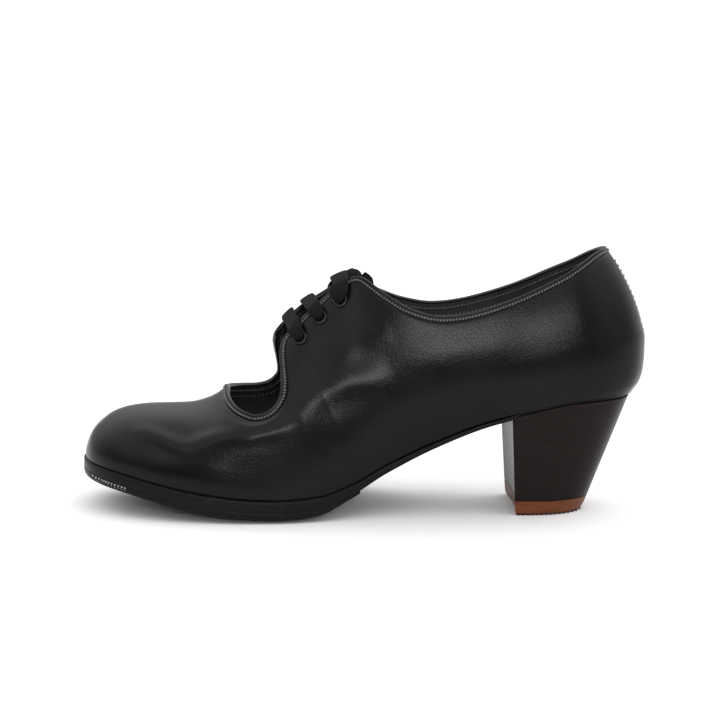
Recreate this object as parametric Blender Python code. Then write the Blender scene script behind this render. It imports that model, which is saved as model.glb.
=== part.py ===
"""Flamenco shoe for women: a low black lace-up on a wooden heel, about 248 mm long.

Metres, +Z up. The toe points to -X, the side called near is at -Y and is the inner side of a
right shoe, and the floor is at Z = 0. A place along the shoe is its share of the length from the toe.
"""
import math

import bmesh
import bpy
from mathutils import Matrix, Vector

# Sizes of the last and the sole
SHOE_LENGTH = 0.2476
BALL_WIDTH = 0.0830
INSTEP_HEIGHT = 0.1075
HEEL_HEIGHT = 0.0535
TOE_SPRING = 0.0117
GAP = 0.0003
FEATHER_GAP = 0.0006

# Sizes of the upper, its binding and the insole
UPPER_WALL = 0.0018
BINDING_WIDTH = 0.0030
BINDING_RAISE = 0.0004
BINDING_SLOPE = 0.0005
INSOLE_THICKNESS = 0.0022
INSOLE_CLEARANCE = 0.0009
INSOLE_TOE_CLEARANCE = 0.0014

# Sizes of the outsole and the half sole
OUTSOLE_THICKNESS = 0.0052
HALF_SOLE_THICKNESS = 0.0029
HALF_SOLE_END_THICKNESS = 0.0012
SOLE_MARGIN = 0.0007
SOLE_EDGE_LIFT = 0.0016
SOLE_CROWN = 0.0022
GROOVE_DEPTH = 0.0014
GROOVE_HEIGHT = 0.0013
EDGE_BEVEL = 0.0005
SEAT_INSET = 0.0020

# Sizes of the heel and its lift
HEEL_BASE_LENGTH = 0.0320
HEEL_BASE_WIDTH = 0.0420
HEEL_BREAST_HOLLOW = 0.0012
HEEL_TOP_INSET = 0.0014
LIFT_HEIGHT = 0.0068

# Sizes of the eyelets and the lace
EYELET_RADIUS = 0.0032
EYELET_RIM = 0.0007
EYELET_BARREL_RADIUS = 0.0022
EYELET_BORE_RADIUS = 0.0017
LACE_WIDTH = 0.0066
LACE_THICKNESS = 0.0015
LACE_END_DIAMETER = 0.0046
LACE_OVER_EDGE = 0.70
LACE_SQUARENESS = 0.7
EYELET_DOME = 0.6

# Places along the shoe, as shares of its length
TOE_EASE_END = 0.040
TOE_PATHS_END = 0.300
GROOVE_END_START = 0.737
SEAT_EASE_START = 0.753
HALF_SOLE_SKIVE_START = 0.405
HALF_SOLE_END = 0.487
CROWN_END = 0.500
BREAST_PLACE = 0.757
SEAT_START = 0.775
HEEL_BASE_START = 0.767

# How fine the faceted forms are
COLUMN_STEPS = 2
PATH_ROWS = 8
FOREFOOT_ROWS = 20
SHANK_ROWS = 10
HEEL_ROWS = 12
SOLE_ACROSS = 6
HEEL_ACROSS = 6
ROUND_SIDES = 14
LACE_SIDES = 8

NEAR = -1.0
FAR = 1.0

# The last, section by section, from the toe to the back.
# place: share of length. toe_rise and heel_rise: the feather line's rise above the ball, as shares
# of the toe spring and of the heel's rise. crest: top of the section, share of instep height.
# near and far: half widths, share of ball width. tuck_near and tuck_far: how far the feather line
# lies inside that half width, same share. open: 0 where the section closes over the instep.
# fullness and roundness: powers of the section's curve, 2 and 2 for an ellipse.
LAST_COLUMNS = ("place", "toe_rise", "heel_rise", "crest", "near", "far", "tuck_near", "tuck_far",
                "open", "fullness", "roundness")
LAST_SECTIONS = (
    (0.0000, 1.000, 0.000, 0.205, 0.000, 0.000, 0.000, 0.000, 0.00, 2.00, 2.00),
    (0.0048, 0.970, 0.000, 0.264, 0.110, 0.110, 0.003, 0.003, 0.00, 2.00, 2.00),
    (0.0129, 0.940, 0.000, 0.305, 0.178, 0.178, 0.005, 0.005, 0.00, 2.00, 2.00),
    (0.0275, 0.905, 0.000, 0.342, 0.250, 0.250, 0.007, 0.007, 0.00, 2.00, 2.05),
    (0.0513, 0.846, 0.000, 0.380, 0.325, 0.323, 0.009, 0.009, 0.00, 2.00, 2.10),
    (0.0788, 0.755, 0.000, 0.400, 0.379, 0.376, 0.010, 0.010, 0.00, 2.00, 2.15),
    (0.1143, 0.600, 0.000, 0.410, 0.425, 0.420, 0.010, 0.010, 0.00, 2.00, 2.20),
    (0.1502, 0.444, 0.000, 0.413, 0.458, 0.447, 0.010, 0.010, 0.00, 2.00, 2.15),
    (0.1858, 0.308, 0.000, 0.418, 0.482, 0.467, 0.011, 0.011, 0.00, 1.90, 2.10),
    (0.2213, 0.192, 0.000, 0.442, 0.497, 0.483, 0.013, 0.014, 0.00, 1.80, 2.05),
    (0.2532, 0.111, 0.000, 0.494, 0.504, 0.493, 0.014, 0.016, 0.00, 1.65, 2.00),
    (0.2912, 0.040, 0.000, 0.591, 0.506, 0.501, 0.016, 0.017, 0.00, 1.45, 2.00),
    (0.3437, 0.000, 0.000, 0.742, 0.500, 0.508, 0.020, 0.017, 0.00, 1.30, 2.00),
    (0.4124, 0.000, 0.023, 0.912, 0.468, 0.501, 0.030, 0.027, 0.00, 1.30, 2.00),
    (0.4730, 0.000, 0.132, 0.995, 0.425, 0.473, 0.042, 0.036, 0.05, 1.45, 2.00),
    (0.5335, 0.000, 0.317, 1.005, 0.388, 0.436, 0.054, 0.042, 0.28, 1.65, 2.00),
    (0.6183, 0.000, 0.549, 0.955, 0.374, 0.398, 0.060, 0.036, 0.43, 2.00, 2.00),
    (0.7153, 0.000, 0.766, 0.960, 0.367, 0.371, 0.054, 0.046, 0.45, 2.00, 2.00),
    (0.7960, 0.000, 0.882, 1.023, 0.365, 0.365, 0.040, 0.040, 0.30, 2.00, 2.00),
    (0.8770, 0.000, 0.975, 1.116, 0.353, 0.353, 0.032, 0.032, 0.15, 2.00, 2.00),
    (0.9170, 0.000, 0.993, 1.153, 0.325, 0.325, 0.026, 0.026, 0.10, 2.00, 2.00),
    (0.9580, 0.000, 1.000, 1.160, 0.259, 0.259, 0.018, 0.018, 0.10, 2.00, 2.00),
    (0.9790, 0.000, 1.000, 1.160, 0.195, 0.195, 0.012, 0.012, 0.10, 2.00, 2.00),
    (0.9940, 0.000, 1.000, 1.160, 0.106, 0.106, 0.006, 0.006, 0.10, 2.00, 2.00),
    (1.0000, 0.000, 1.000, 1.160, 0.000, 0.000, 0.000, 0.000, 0.10, 2.00, 2.00),
)

# The back seam's curve: how far it lies ahead of the rearmost point, by height.
# height: share of instep height. ahead: share of length.
BACK_COLUMNS = ("height", "ahead")
BACK_CURVE = (
    (0.480, 0.0230),
    (0.498, 0.0200),
    (0.539, 0.0085),
    (0.590, 0.0020),
    (0.655, 0.0000),
    (0.716, 0.0000),
    (0.791, 0.0077),
    (0.865, 0.0186),
    (0.941, 0.0339),
    (1.018, 0.0529),
    (1.067, 0.0680),
    (1.092, 0.0775),
    (1.180, 0.1080),
)
BACK_LEAN_START = 0.70

# The feather line's tuck fades out at this share of the section's height.
TUCK_HEIGHT = 0.4

# The heel base's outline as powers of its curve, fuller than an ellipse.
HEEL_BASE_FULLNESS = 2.6
HEEL_BASE_ROUNDNESS = 0.46

# Steps along the sections for directions on the upper.
NORMAL_STEP = 0.004
EDGE_STEP = 0.003

# The opening's edge on one side, from the middle of the vamp to the back seam, and where the
# column of the wall that starts at each point reaches the feather line.
# along and foot_along: shares of length. height: share of instep height on the near side.
# far_rise: how much higher the far side's edge is there, share of instep height.
# far_ahead: how much nearer to the toe it is there, share of length.
OPENING_EDGE = (
    (0.2525, 0.4940, 0.0000, 0.0000, 0.000),
    (0.2532, 0.4850, 0.0000, 0.0000, 0.010),
    (0.2571, 0.4700, 0.0060, -0.0030, 0.036),
    (0.2650, 0.4530, 0.0165, -0.0040, 0.078),
    (0.2760, 0.4390, 0.0260, -0.0030, 0.128),
    (0.2890, 0.4290, 0.0320, -0.0030, 0.182),
    (0.3029, 0.4240, 0.0350, -0.0020, 0.234),
    (0.3200, 0.4350, 0.0290, 0.0000, 0.284),
    (0.3347, 0.4600, 0.0190, 0.0020, 0.324),
    (0.3451, 0.5000, 0.0050, 0.0035, 0.358),
    (0.3476, 0.5369, 0.0000, 0.0050, 0.388),
    (0.3472, 0.5800, 0.0000, 0.0075, 0.418),
    (0.3450, 0.6350, 0.0000, 0.0100, 0.446),
    (0.3455, 0.6700, 0.0000, 0.0120, 0.472),
    (0.3500, 0.7070, 0.0020, 0.0130, 0.496),
    (0.3618, 0.7423, 0.0080, 0.0120, 0.520),
    (0.3874, 0.8061, 0.0060, 0.0084, 0.548),
    (0.4168, 0.8705, -0.0115, 0.0048, 0.574),
    (0.4440, 0.9280, -0.0280, 0.0020, 0.597),
    (0.4640, 0.9580, -0.0400, 0.0000, 0.616),
    (0.4840, 0.9675, -0.0550, 0.0000, 0.634),
    (0.5020, 0.9480, -0.0500, 0.0000, 0.652),
    (0.5320, 0.9030, -0.0360, 0.0000, 0.676),
    (0.5700, 0.8560, -0.0200, 0.0000, 0.706),
    (0.6225, 0.8276, -0.0086, 0.0000, 0.746),
    (0.6850, 0.8470, -0.0070, 0.0000, 0.794),
    (0.7625, 0.9076, -0.0096, 0.0000, 0.850),
    (0.8330, 0.9835, -0.0120, 0.0000, 0.904),
    (0.8720, 1.0380, -0.0240, 0.0000, 0.944),
    (0.9010, 1.0780, -0.0200, 0.0000, 0.976),
    (0.9230, 1.0900, 0.0000, 0.0000, 1.000),
)

# The outsole's thickness at the edge. place: share of length. layer: share of its thickness.
SOLE_COLUMNS = ("place", "layer")
SOLE_PROFILE = (
    (0.000, 0.77),
    (0.050, 0.88),
    (0.130, 0.94),
    (0.230, 1.00),
    (0.400, 1.00),
    (0.487, 0.80),
    (0.560, 0.62),
    (0.640, 0.46),
    (0.700, 0.39),
    (0.757, 0.32),
    (0.775, 0.14),
    (1.000, 0.14),
)

# Eyelets from the toe to the collar. along: share of length. height: share of instep height.
# far_rise and far_ahead: the far one's difference, as for the opening's edge.
EYELETS = (
    (0.3804, 0.7225, 0.0060, 0.0084),
    (0.4144, 0.8045, -0.0100, 0.0050),
    (0.4497, 0.8728, -0.0280, 0.0020),
)

# The lace bars from the toe to the collar: where each crosses the near and the far edge of the
# throat, as shares of length, and how far its middle arches, as a share of the lace's width.
LACE_BARS = (
    (0.3717, 0.3637, 0.05),
    (0.4041, 0.3963, 0.05),
    (0.4530, 0.4570, 0.40),
)
FACING_START = 0.349
FACING_END = 0.490

# A lace's form where it leaves its eyelet. rise: share of its thickness above the rim.
# reach: share of the eyelet's radius toward the throat. wide and thick: shares of its full size.
LACE_EXIT = (
    (0.0, 0.00, 0.50, 1.30),
    (0.6, 0.07, 0.62, 1.30),
    (1.2, 0.55, 0.80, 1.15),
    (1.2, 1.38, 1.00, 1.00),
)

# The tied lace at the top: the knot and its two ends, which tuck down inside the throat.
# Each point is a share of length, a share of ball width across and a share of instep height.
KNOT_CENTRE = (0.4744, 0.000, 0.953)
KNOT_RADII = (0.0040, 0.0052, 0.0034)
KNOT_TILT = 30.0
LACE_END_NEAR = (
    (0.4948, -0.022, 0.951),
    (0.5000, -0.034, 0.938),
    (0.5010, -0.047, 0.914),
    (0.4975, -0.058, 0.886),
    (0.4890, -0.065, 0.858),
    (0.4770, -0.067, 0.832),
    (0.4630, -0.062, 0.808),
    (0.4480, -0.055, 0.786),
    (0.4310, -0.046, 0.768),
    (0.4130, -0.036, 0.752),
)
LACE_END_FAR = (
    (0.4912, 0.040, 0.952),
    (0.5012, 0.058, 0.932),
    (0.5028, 0.072, 0.904),
    (0.4963, 0.077, 0.874),
    (0.4850, 0.075, 0.847),
    (0.4705, 0.067, 0.820),
    (0.4535, 0.058, 0.798),
    (0.4365, 0.048, 0.778),
    (0.4190, 0.040, 0.762),
)

COLOURS = {
    "upper_leather": (0.020, 0.020, 0.021, 1.0),
    "insole_leather": (0.012, 0.012, 0.012, 1.0),
    "sole_leather": (0.014, 0.014, 0.014, 1.0),
    "heel_wood": (0.022, 0.019, 0.018, 1.0),
    "lift_leather": (0.125, 0.040, 0.021, 1.0),
    "eyelet_metal": (0.012, 0.012, 0.012, 1.0),
    "lace_cotton": (0.010, 0.010, 0.010, 1.0),
}


def clear_scene():
    for old in list(bpy.data.objects):
        bpy.data.objects.remove(old, do_unlink=True)


def material(name, roughness, metallic=0.0):
    made = bpy.data.materials.new(name)
    made.use_nodes = True
    made.diffuse_color = COLOURS[name]
    shader = made.node_tree.nodes["Principled BSDF"]
    shader.inputs["Base Color"].default_value = COLOURS[name]
    shader.inputs["Roughness"].default_value = roughness
    shader.inputs["Metallic"].default_value = metallic
    return made


def add_object(name, points, faces, look, smooth_angle=40.0):
    mesh = bpy.data.meshes.new(name)
    mesh.from_pydata([tuple(point) for point in points], [], faces)
    shape = bmesh.new()
    shape.from_mesh(mesh)
    bmesh.ops.recalc_face_normals(shape, faces=shape.faces[:])
    shape.to_mesh(mesh)
    shape.free()
    mesh.materials.append(look)
    mesh.shade_smooth()
    mesh.set_sharp_from_angle(angle=math.radians(smooth_angle))
    thing = bpy.data.objects.new(name, mesh)
    bpy.context.scene.collection.objects.link(thing)
    return thing


class Table:
    """A table whose columns are read between its rows by a curve that does not overshoot."""

    def __init__(self, names, rows, key):
        self.keys = [key(row[0]) for row in rows]
        self.columns = {}
        for index, name in enumerate(names):
            values = [row[index] for row in rows]
            self.columns[name] = (values, self.slopes(values))

    def slopes(self, values):
        steps = [b - a for a, b in zip(self.keys, self.keys[1:])]
        rises = [(b - a) / step for a, b, step in zip(values, values[1:], steps)]
        inner = []
        for before, after in zip(rises, rises[1:]):
            inner.append(0.0 if before * after <= 0.0 else 2.0 * before * after / (before + after))
        return [rises[0]] + inner + [rises[-1]]

    def read(self, name, at):
        values, slopes = self.columns[name]
        at = min(max(at, self.keys[0]), self.keys[-1])
        row = 0
        while row < len(self.keys) - 2 and at > self.keys[row + 1]:
            row += 1
        step = self.keys[row + 1] - self.keys[row]
        t = (at - self.keys[row]) / step
        start = (1 + 2 * t) * (1 - t) ** 2 * values[row] + t * (1 - t) ** 2 * step * slopes[row]
        end = t * t * (3 - 2 * t) * values[row + 1] + t * t * (t - 1) * step * slopes[row + 1]
        return start + end


def station_of(place):
    """The section number from 0 at the toe to 1 at the back, closer together at both round ends."""
    return math.acos(1.0 - 2.0 * min(max(place, 0.0), 1.0)) / math.pi


def place_of(station):
    return (1.0 - math.cos(math.pi * station)) / 2.0


LAST = Table(LAST_COLUMNS, LAST_SECTIONS, station_of)
BACK = Table(BACK_COLUMNS, BACK_CURVE, float)
SOLE = Table(SOLE_COLUMNS, SOLE_PROFILE, float)


def along(place):
    """A place as a distance from the middle of the whole shoe, whose toe end is the sole's margin."""
    return (place - 0.5) * SHOE_LENGTH + SOLE_MARGIN / 2.0


def place_at(x):
    return (x - SOLE_MARGIN / 2.0) / SHOE_LENGTH + 0.5


def sole_stack():
    """From the sole's underside at its edge to the upper's feather line, at the ball."""
    return HALF_SOLE_THICKNESS + GAP + OUTSOLE_THICKNESS + FEATHER_GAP


def foot_height(station):
    ball = sole_stack() + SOLE_EDGE_LIFT
    toe = LAST.read("toe_rise", station) * TOE_SPRING
    return ball + toe + LAST.read("heel_rise", station) * (HEEL_HEIGHT - ball)


def section_height(station):
    return LAST.read("crest", station) * INSTEP_HEIGHT - foot_height(station)


def lean(place, height):
    """How far a point near the back moves forward so that the back seam keeps its curve."""
    if place <= BACK_LEAN_START:
        return 0.0
    share = (place - BACK_LEAN_START) / (1.0 - BACK_LEAN_START)
    ramp = share * share * (3.0 - 2.0 * share)
    return ramp * BACK.read("ahead", height / INSTEP_HEIGHT) * SHOE_LENGTH


def last_point(station, turn, side):
    """A point of the upper's outer face. turn is 0 at the feather line and a quarter turn on top."""
    fullness = LAST.read("fullness", station)
    roundness = LAST.read("roundness", station)
    rise = math.sin(turn) ** 2
    share = rise ** (1.0 / fullness)
    half = LAST.read("near" if side == NEAR else "far", station) * BALL_WIDTH
    tuck = LAST.read("tuck_near" if side == NEAR else "tuck_far", station) * BALL_WIDTH
    closed = max(0.0, 1.0 - (1.0 - LAST.read("open", station)) * rise)
    across = half * closed ** (1.0 / roundness) - tuck * max(0.0, 1.0 - share / TUCK_HEIGHT) ** 2
    height = foot_height(station) + section_height(station) * share
    place = place_of(station)
    return Vector((along(place) - lean(place, height), side * across, height))


def locate(point, side):
    """The station and turn of the last's point that is nearest to one close to its surface."""
    station = station_of(place_at(point.x))
    for _ in range(8):
        place = place_of(station)
        station = station_of(place_at(point.x + lean(place, point.z)))
    share = min(max((point.z - foot_height(station)) / section_height(station), 0.0), 1.0)
    half = LAST.read("near" if side == NEAR else "far", station) * BALL_WIDTH
    across = min(max(side * point.y, 0.0) / half, 1.0)
    opened = LAST.read("open", station)
    level = max(0.0, across ** LAST.read("roundness", station) - opened) / (1.0 - opened)
    return station, math.atan2(math.sqrt(share ** LAST.read("fullness", station)), math.sqrt(level))


def surface_normal(station, turn, side):
    low_station = max(station - NORMAL_STEP, NORMAL_STEP / 8.0)
    high_station = min(station + NORMAL_STEP, 1.0 - NORMAL_STEP / 8.0)
    low_turn = max(turn - NORMAL_STEP, 0.0)
    high_turn = min(turn + NORMAL_STEP, math.pi / 2)
    by_station = last_point(high_station, turn, side) - last_point(low_station, turn, side)
    by_turn = last_point(station, high_turn, side) - last_point(station, low_turn, side)
    normal = by_turn.cross(by_station) * side
    return normal.normalized()


def side_point(place, height, side):
    """The point of the last with this place along and this height."""
    x = along(place)
    station = station_of(place)
    for _ in range(8):
        station = station_of(place_at(x + lean(place_of(station), height)))
    share = min(max((height - foot_height(station)) / section_height(station), 0.0), 1.0)
    turn = math.asin(math.sqrt(share ** LAST.read("fullness", station)))
    return station, turn


def smooth_row(rows, position):
    """A row between the rows of a table, on a Catmull-Rom curve through them."""
    count = len(rows)
    index = min(int(position), count - 2)
    t = position - index
    a, b, c, d = (rows[min(max(index + k, 0), count - 1)] for k in (-1, 0, 1, 2))
    made = []
    for p, q, r, s in zip(a, b, c, d):
        value = q + 0.5 * t * (r - p + t * (2 * p - 5 * q + 4 * r - s + t * (3 * (q - r) + s - p)))
        made.append(value)
    return made


def edge_loop():
    """The opening's edge as station, turn, side and foot station, all round: near side, then far."""
    count = (len(OPENING_EDGE) - 1) * COLUMN_STEPS
    loop = []
    for side in (NEAR, FAR):
        half = []
        for index in range(count + 1):
            place, height, rise, ahead, foot_place = smooth_row(OPENING_EDGE, index / COLUMN_STEPS)
            if side == FAR:
                height += rise
                place -= ahead
            station, turn = side_point(place, height * INSTEP_HEIGHT, side)
            if index == 0:
                turn = math.pi / 2
            if index == count:
                station = 1.0
            half.append((station, turn, side, station_of(foot_place)))
        loop += half if side == NEAR else half[-2:0:-1]
    return loop


def binding_line(loop, points, index, distance):
    """The station and turn at a distance from the edge into the leather, square to it."""
    station, turn, side, _ = loop[index]
    ahead = points[(index + 1) % len(points)] - points[index - 1]
    normal = surface_normal(station, turn, side)
    away = ahead.cross(normal).normalized()
    target = points[index] + away * distance
    if abs(points[index].y) < 1e-6:
        target.y = 0.0
        if station < 0.5:
            return station_of(place_at(target.x)), math.pi / 2
        return 1.0, side_point_turn(target.z)
    return locate(target, side)


def side_point_turn(height):
    share = (height - foot_height(1.0)) / section_height(1.0)
    return math.asin(math.sqrt(share ** LAST.read("fullness", 1.0)))


def upper_rows():
    """The upper's outer face as rows of points from the edge down to the feather line."""
    loop = edge_loop()
    edge = [last_point(station, turn, side) for station, turn, side, _ in loop]
    starts = []
    for distance in (BINDING_WIDTH, BINDING_WIDTH + BINDING_SLOPE):
        starts.append([binding_line(loop, edge, index, distance) for index in range(len(loop))])
    rows = [edge]
    for start in starts:
        rows.append([last_point(s, t, loop[i][2]) for i, (s, t) in enumerate(start)])
    for step in range(1, PATH_ROWS + 1):
        down = step / PATH_ROWS
        row = []
        for index, (_, _, side, foot) in enumerate(loop):
            station, turn = starts[-1][index]
            row.append(wall_point(station, turn, side, foot, down))
        rows.append(row)
    return rows


def wall_point(station, turn, side, foot, down):
    """A point part of the way down a column of the wall, from its start to its foot."""
    place, foot_place = place_of(station), place_of(foot)
    turned = turn * (1.0 - down)
    if foot_place > TOE_PATHS_END:
        return last_point(station + (foot - station) * down, turned, side)
    roundness = LAST.read("roundness", station)
    start_out = math.cos(turn) ** (2.0 / roundness)
    out = math.cos(turned) ** (2.0 / roundness)
    run = (out - start_out) / (1.0 - start_out)
    name = "near" if side == NEAR else "far"
    start_y = LAST.read(name, station) * start_out
    foot_y = LAST.read(name, foot)
    here = station_of(place + (foot_place - place) * run)
    y = start_y + (foot_y - start_y) * run
    half = max(LAST.read(name, here), 1e-9)
    level = min(y / half, 1.0) ** (LAST.read("roundness", here) / 2.0)
    return last_point(here, math.acos(level), side)


def row_normals(rows):
    count = len(rows[0])
    normals = []
    for r, row in enumerate(rows):
        above = rows[max(r - 1, 0)]
        below = rows[min(r + 1, len(rows) - 1)]
        line = []
        for k in range(count):
            across = row[(k + 1) % count] - row[k - 1]
            down = below[k] - above[k]
            line.append(down.cross(across).normalized())
        normals.append(line)
    return normals


def build_upper(look):
    rows = upper_rows()
    normals = row_normals(rows)
    count = len(rows[0])
    outer = []
    inner = []
    rim = []
    for r, row in enumerate(rows):
        raised = BINDING_RAISE if r < 2 else 0.0
        outer.append([row[k] + normals[r][k] * raised for k in range(count)])
        inner.append([row[k] - normals[r][k] * UPPER_WALL for k in range(count)])
    for k in range(count):
        outward = (rows[0][k] - rows[2][k]).normalized()
        middle = rows[0][k] - normals[0][k] * (UPPER_WALL - BINDING_RAISE) / 2.0
        rim.append(middle + outward * BINDING_RAISE)
        foot = rows[-1][k]
        flat = Vector((normals[-1][k].x, normals[-1][k].y, 0.0)).normalized()
        inner[-1][k] = foot - flat * UPPER_WALL
    kept = [0] + list(range(2, len(inner), 2))
    if kept[-1] != len(inner) - 1:
        kept.append(len(inner) - 1)
    bands = [rim] + outer + [inner[r] for r in kept[::-1]]
    points = [point for band in bands for point in band]
    faces = []
    for b in range(len(bands)):
        for k in range(count):
            after = (k + 1) % count
            below = (b + 1) % len(bands)
            faces.append((b * count + k, b * count + after, below * count + after, below * count + k))
    return add_object("upper", points, faces, look)


def foot_edge(station, side, offset):
    """A point of the feather line, moved outward in plan by offset."""
    point = last_point(station, 0.0, side)
    if station <= 0.0:
        return Vector((point.x - offset, 0.0, point.z))
    if station >= 1.0:
        return Vector((point.x + offset, 0.0, point.z))
    before = last_point(max(station - EDGE_STEP, 0.0), 0.0, side)
    after = last_point(min(station + EDGE_STEP, 1.0), 0.0, side)
    run = after - before
    outward = Vector((-side * run.y, side * run.x, 0.0)).normalized()
    return point + outward * offset


def fade(place, start, end):
    """1 before start, 0 after end, and a soft step between them."""
    share = min(max((place - start) / (end - start), 0.0), 1.0)
    return 1.0 - share * share * (3.0 - 2.0 * share)


def crown(station, across):
    """How far the sole's middle hangs below its edge. across runs from -1 to 1."""
    place = place_of(station)
    width = (LAST.read("near", station) + LAST.read("far", station)) / 2.0
    full = SOLE_CROWN * (2.0 * width) ** 2 * fade(place, HALF_SOLE_SKIVE_START, CROWN_END)
    return full * (1.0 - across * across)


def outsole_layer(station):
    return SOLE.read("layer", place_of(station)) * OUTSOLE_THICKNESS


def outsole_top(station):
    return foot_height(station) - FEATHER_GAP


def outsole_bottom(station):
    return outsole_top(station) - outsole_layer(station)


def sole_offset(station):
    """The sole's edge stands out a little, and draws in above the heel."""
    share = fade(place_of(station), SEAT_EASE_START, SEAT_START)
    return SOLE_MARGIN * share - SEAT_INSET * (1.0 - share)


def layered_solid(name, look, point, rings, counts, poles):
    """A closed solid from outlines that lie above each other, each spanned by rows of points.

    point(ring, row, column) places a point. counts holds the rows and columns of a cap, and poles
    says whether the first and the last row shrink to a single point.
    """
    rows, columns = counts
    index = {}
    points = []

    def vertex(ring, row, column):
        if (row == 0 and poles[0]) or (row == rows and poles[1]):
            column = 0
        key = (ring, row, column)
        if key not in index:
            index[key] = len(points)
            points.append(point(ring, row, column))
        return index[key]

    def add_face(*corners):
        ring = [corner for spot, corner in enumerate(corners) if corner != corners[spot - 1]]
        if len(ring) > 2:
            faces.append(ring)

    faces = []
    for ring in (0, rings - 1):
        for row in range(rows):
            for column in range(columns):
                add_face(vertex(ring, row, column), vertex(ring, row + 1, column),
                         vertex(ring, row + 1, column + 1), vertex(ring, row, column + 1))
    border = [(row, 0) for row in range(rows + 1)]
    border += [(rows, column) for column in range(1, columns)]
    border += [(row, columns) for row in range(rows, -1, -1)]
    border += [(0, column) for column in range(columns - 1, 0, -1)]
    for ring in range(rings - 1):
        for spot, here in enumerate(border):
            back = border[spot - 1]
            add_face(vertex(ring, *back), vertex(ring, *here),
                     vertex(ring + 1, *here), vertex(ring + 1, *back))
    return add_object(name, points, faces, look)


def sole_stations():
    """The rows of every layer of the sole, so that the layers stay parallel."""
    stations = []
    places = (0.0, HALF_SOLE_END, BREAST_PLACE, 1.0)
    for start, end, rows in zip(places, places[1:], (FOREFOOT_ROWS, SHANK_ROWS, HEEL_ROWS)):
        low, high = station_of(start), station_of(end)
        stations += [low + (high - low) * row / rows for row in range(rows)]
    return stations + [1.0]


def sole_solid(name, look, rings, whole, floor=False):
    """A layer of the sole, whole or to the half sole's end. Each ring is an offset and a height."""
    stations = sole_stations()
    rows = len(stations) - 1 if whole else FOREFOOT_ROWS

    def point(ring, row, column):
        station = stations[row]
        offset, height = rings[ring]
        near = foot_edge(station, NEAR, offset(station))
        far = foot_edge(station, FAR, offset(station))
        across = 2.0 * column / SOLE_ACROSS - 1.0
        spot = near.lerp(far, column / SOLE_ACROSS)
        spot.z = height(station) - crown(station, across)
        if floor:
            spot.z = max(spot.z, 0.0)
        return spot

    return layered_solid(name, look, point, len(rings), (rows, SOLE_ACROSS), (True, whole))


def build_insole(look):
    def inside(station):
        ease = INSOLE_TOE_CLEARANCE * fade(place_of(station), 0.0, TOE_EASE_END)
        return -UPPER_WALL - INSOLE_CLEARANCE - ease

    def top(station):
        return foot_height(station) + INSOLE_THICKNESS

    def bottom(station):
        return foot_height(station) - FEATHER_GAP + GAP

    return sole_solid("insole", look, [(inside, top), (inside, bottom)], True)


def build_outsole(look):
    def groove(station):
        return sole_offset(station) - GROOVE_DEPTH * fade(place_of(station), GROOVE_END_START, BREAST_PLACE)

    def shoulder(station):
        return outsole_top(station) - GROOVE_HEIGHT * SOLE.read("layer", place_of(station))

    rings = [(groove, outsole_top), (sole_offset, shoulder), (sole_offset, outsole_bottom)]
    return sole_solid("outsole", look, rings, True)


def build_half_sole(look):
    def layer(station):
        skive = fade(place_of(station), HALF_SOLE_SKIVE_START, HALF_SOLE_END)
        return HALF_SOLE_END_THICKNESS + (HALF_SOLE_THICKNESS - HALF_SOLE_END_THICKNESS) * skive

    def top(station):
        return outsole_bottom(station) - GAP

    def bevel_line(station):
        return top(station) - layer(station) + EDGE_BEVEL

    def bottom(station):
        return top(station) - layer(station)

    def edge(_):
        return SOLE_MARGIN

    def bevelled(_):
        return SOLE_MARGIN - EDGE_BEVEL

    rings = [(edge, top), (edge, bevel_line), (bevelled, bottom)]
    return sole_solid("half_sole", look, rings, False, floor=True)


def heel_seat(station, side):
    spot = foot_edge(station, side, -HEEL_TOP_INSET)
    spot.z = outsole_bottom(station) - GAP
    return spot


def heel_base(station, side):
    share = max((place_of(station) - BREAST_PLACE) / (1.0 - BREAST_PLACE), 0.0)
    half = HEEL_BASE_WIDTH / 2.0 * max(0.0, 1.0 - share ** HEEL_BASE_FULLNESS) ** HEEL_BASE_ROUNDNESS
    return Vector((along(HEEL_BASE_START) + share * HEEL_BASE_LENGTH, side * half, 0.0))


def heel_point(row, column, height_share):
    """A point of the heel between its base on the floor and its seat under the upper."""
    start = station_of(BREAST_PLACE)
    station = start + (1.0 - start) * row / HEEL_ROWS
    ends = []
    for side in (NEAR, FAR):
        seat = heel_seat(station, side)
        base = heel_base(station, side)
        ends.append(base.lerp(seat, height_share(seat.z)))
    spot = ends[0].lerp(ends[1], column / HEEL_ACROSS)
    if row == 0:
        across = 2.0 * column / HEEL_ACROSS - 1.0
        spot.x += HEEL_BREAST_HOLLOW * (1.0 - across * across)
    return spot


def build_heel(look):
    levels = (lambda seat: 1.0,
              lambda seat: (1.0 + LIFT_HEIGHT / seat) / 2.0,
              lambda seat: LIFT_HEIGHT / seat)

    def point(ring, row, column):
        return heel_point(row, column, levels[ring])

    return layered_solid("heel", look, point, len(levels), (HEEL_ROWS, HEEL_ACROSS), (False, True))


def build_lift(look):
    heights = (LIFT_HEIGHT - GAP, EDGE_BEVEL, 0.0)
    middle = Vector((along(HEEL_BASE_START) + HEEL_BASE_LENGTH / 2.0, 0.0, 0.0))

    def point(ring, row, column):
        spot = heel_point(row, column, lambda seat: heights[ring] / seat)
        if heights[ring] == 0.0:
            spot += (middle - spot).normalized() * EDGE_BEVEL
            spot.z = 0.0
        return spot

    return layered_solid("heel_lift", look, point, len(heights), (HEEL_ROWS, HEEL_ACROSS), (False, True))


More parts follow.
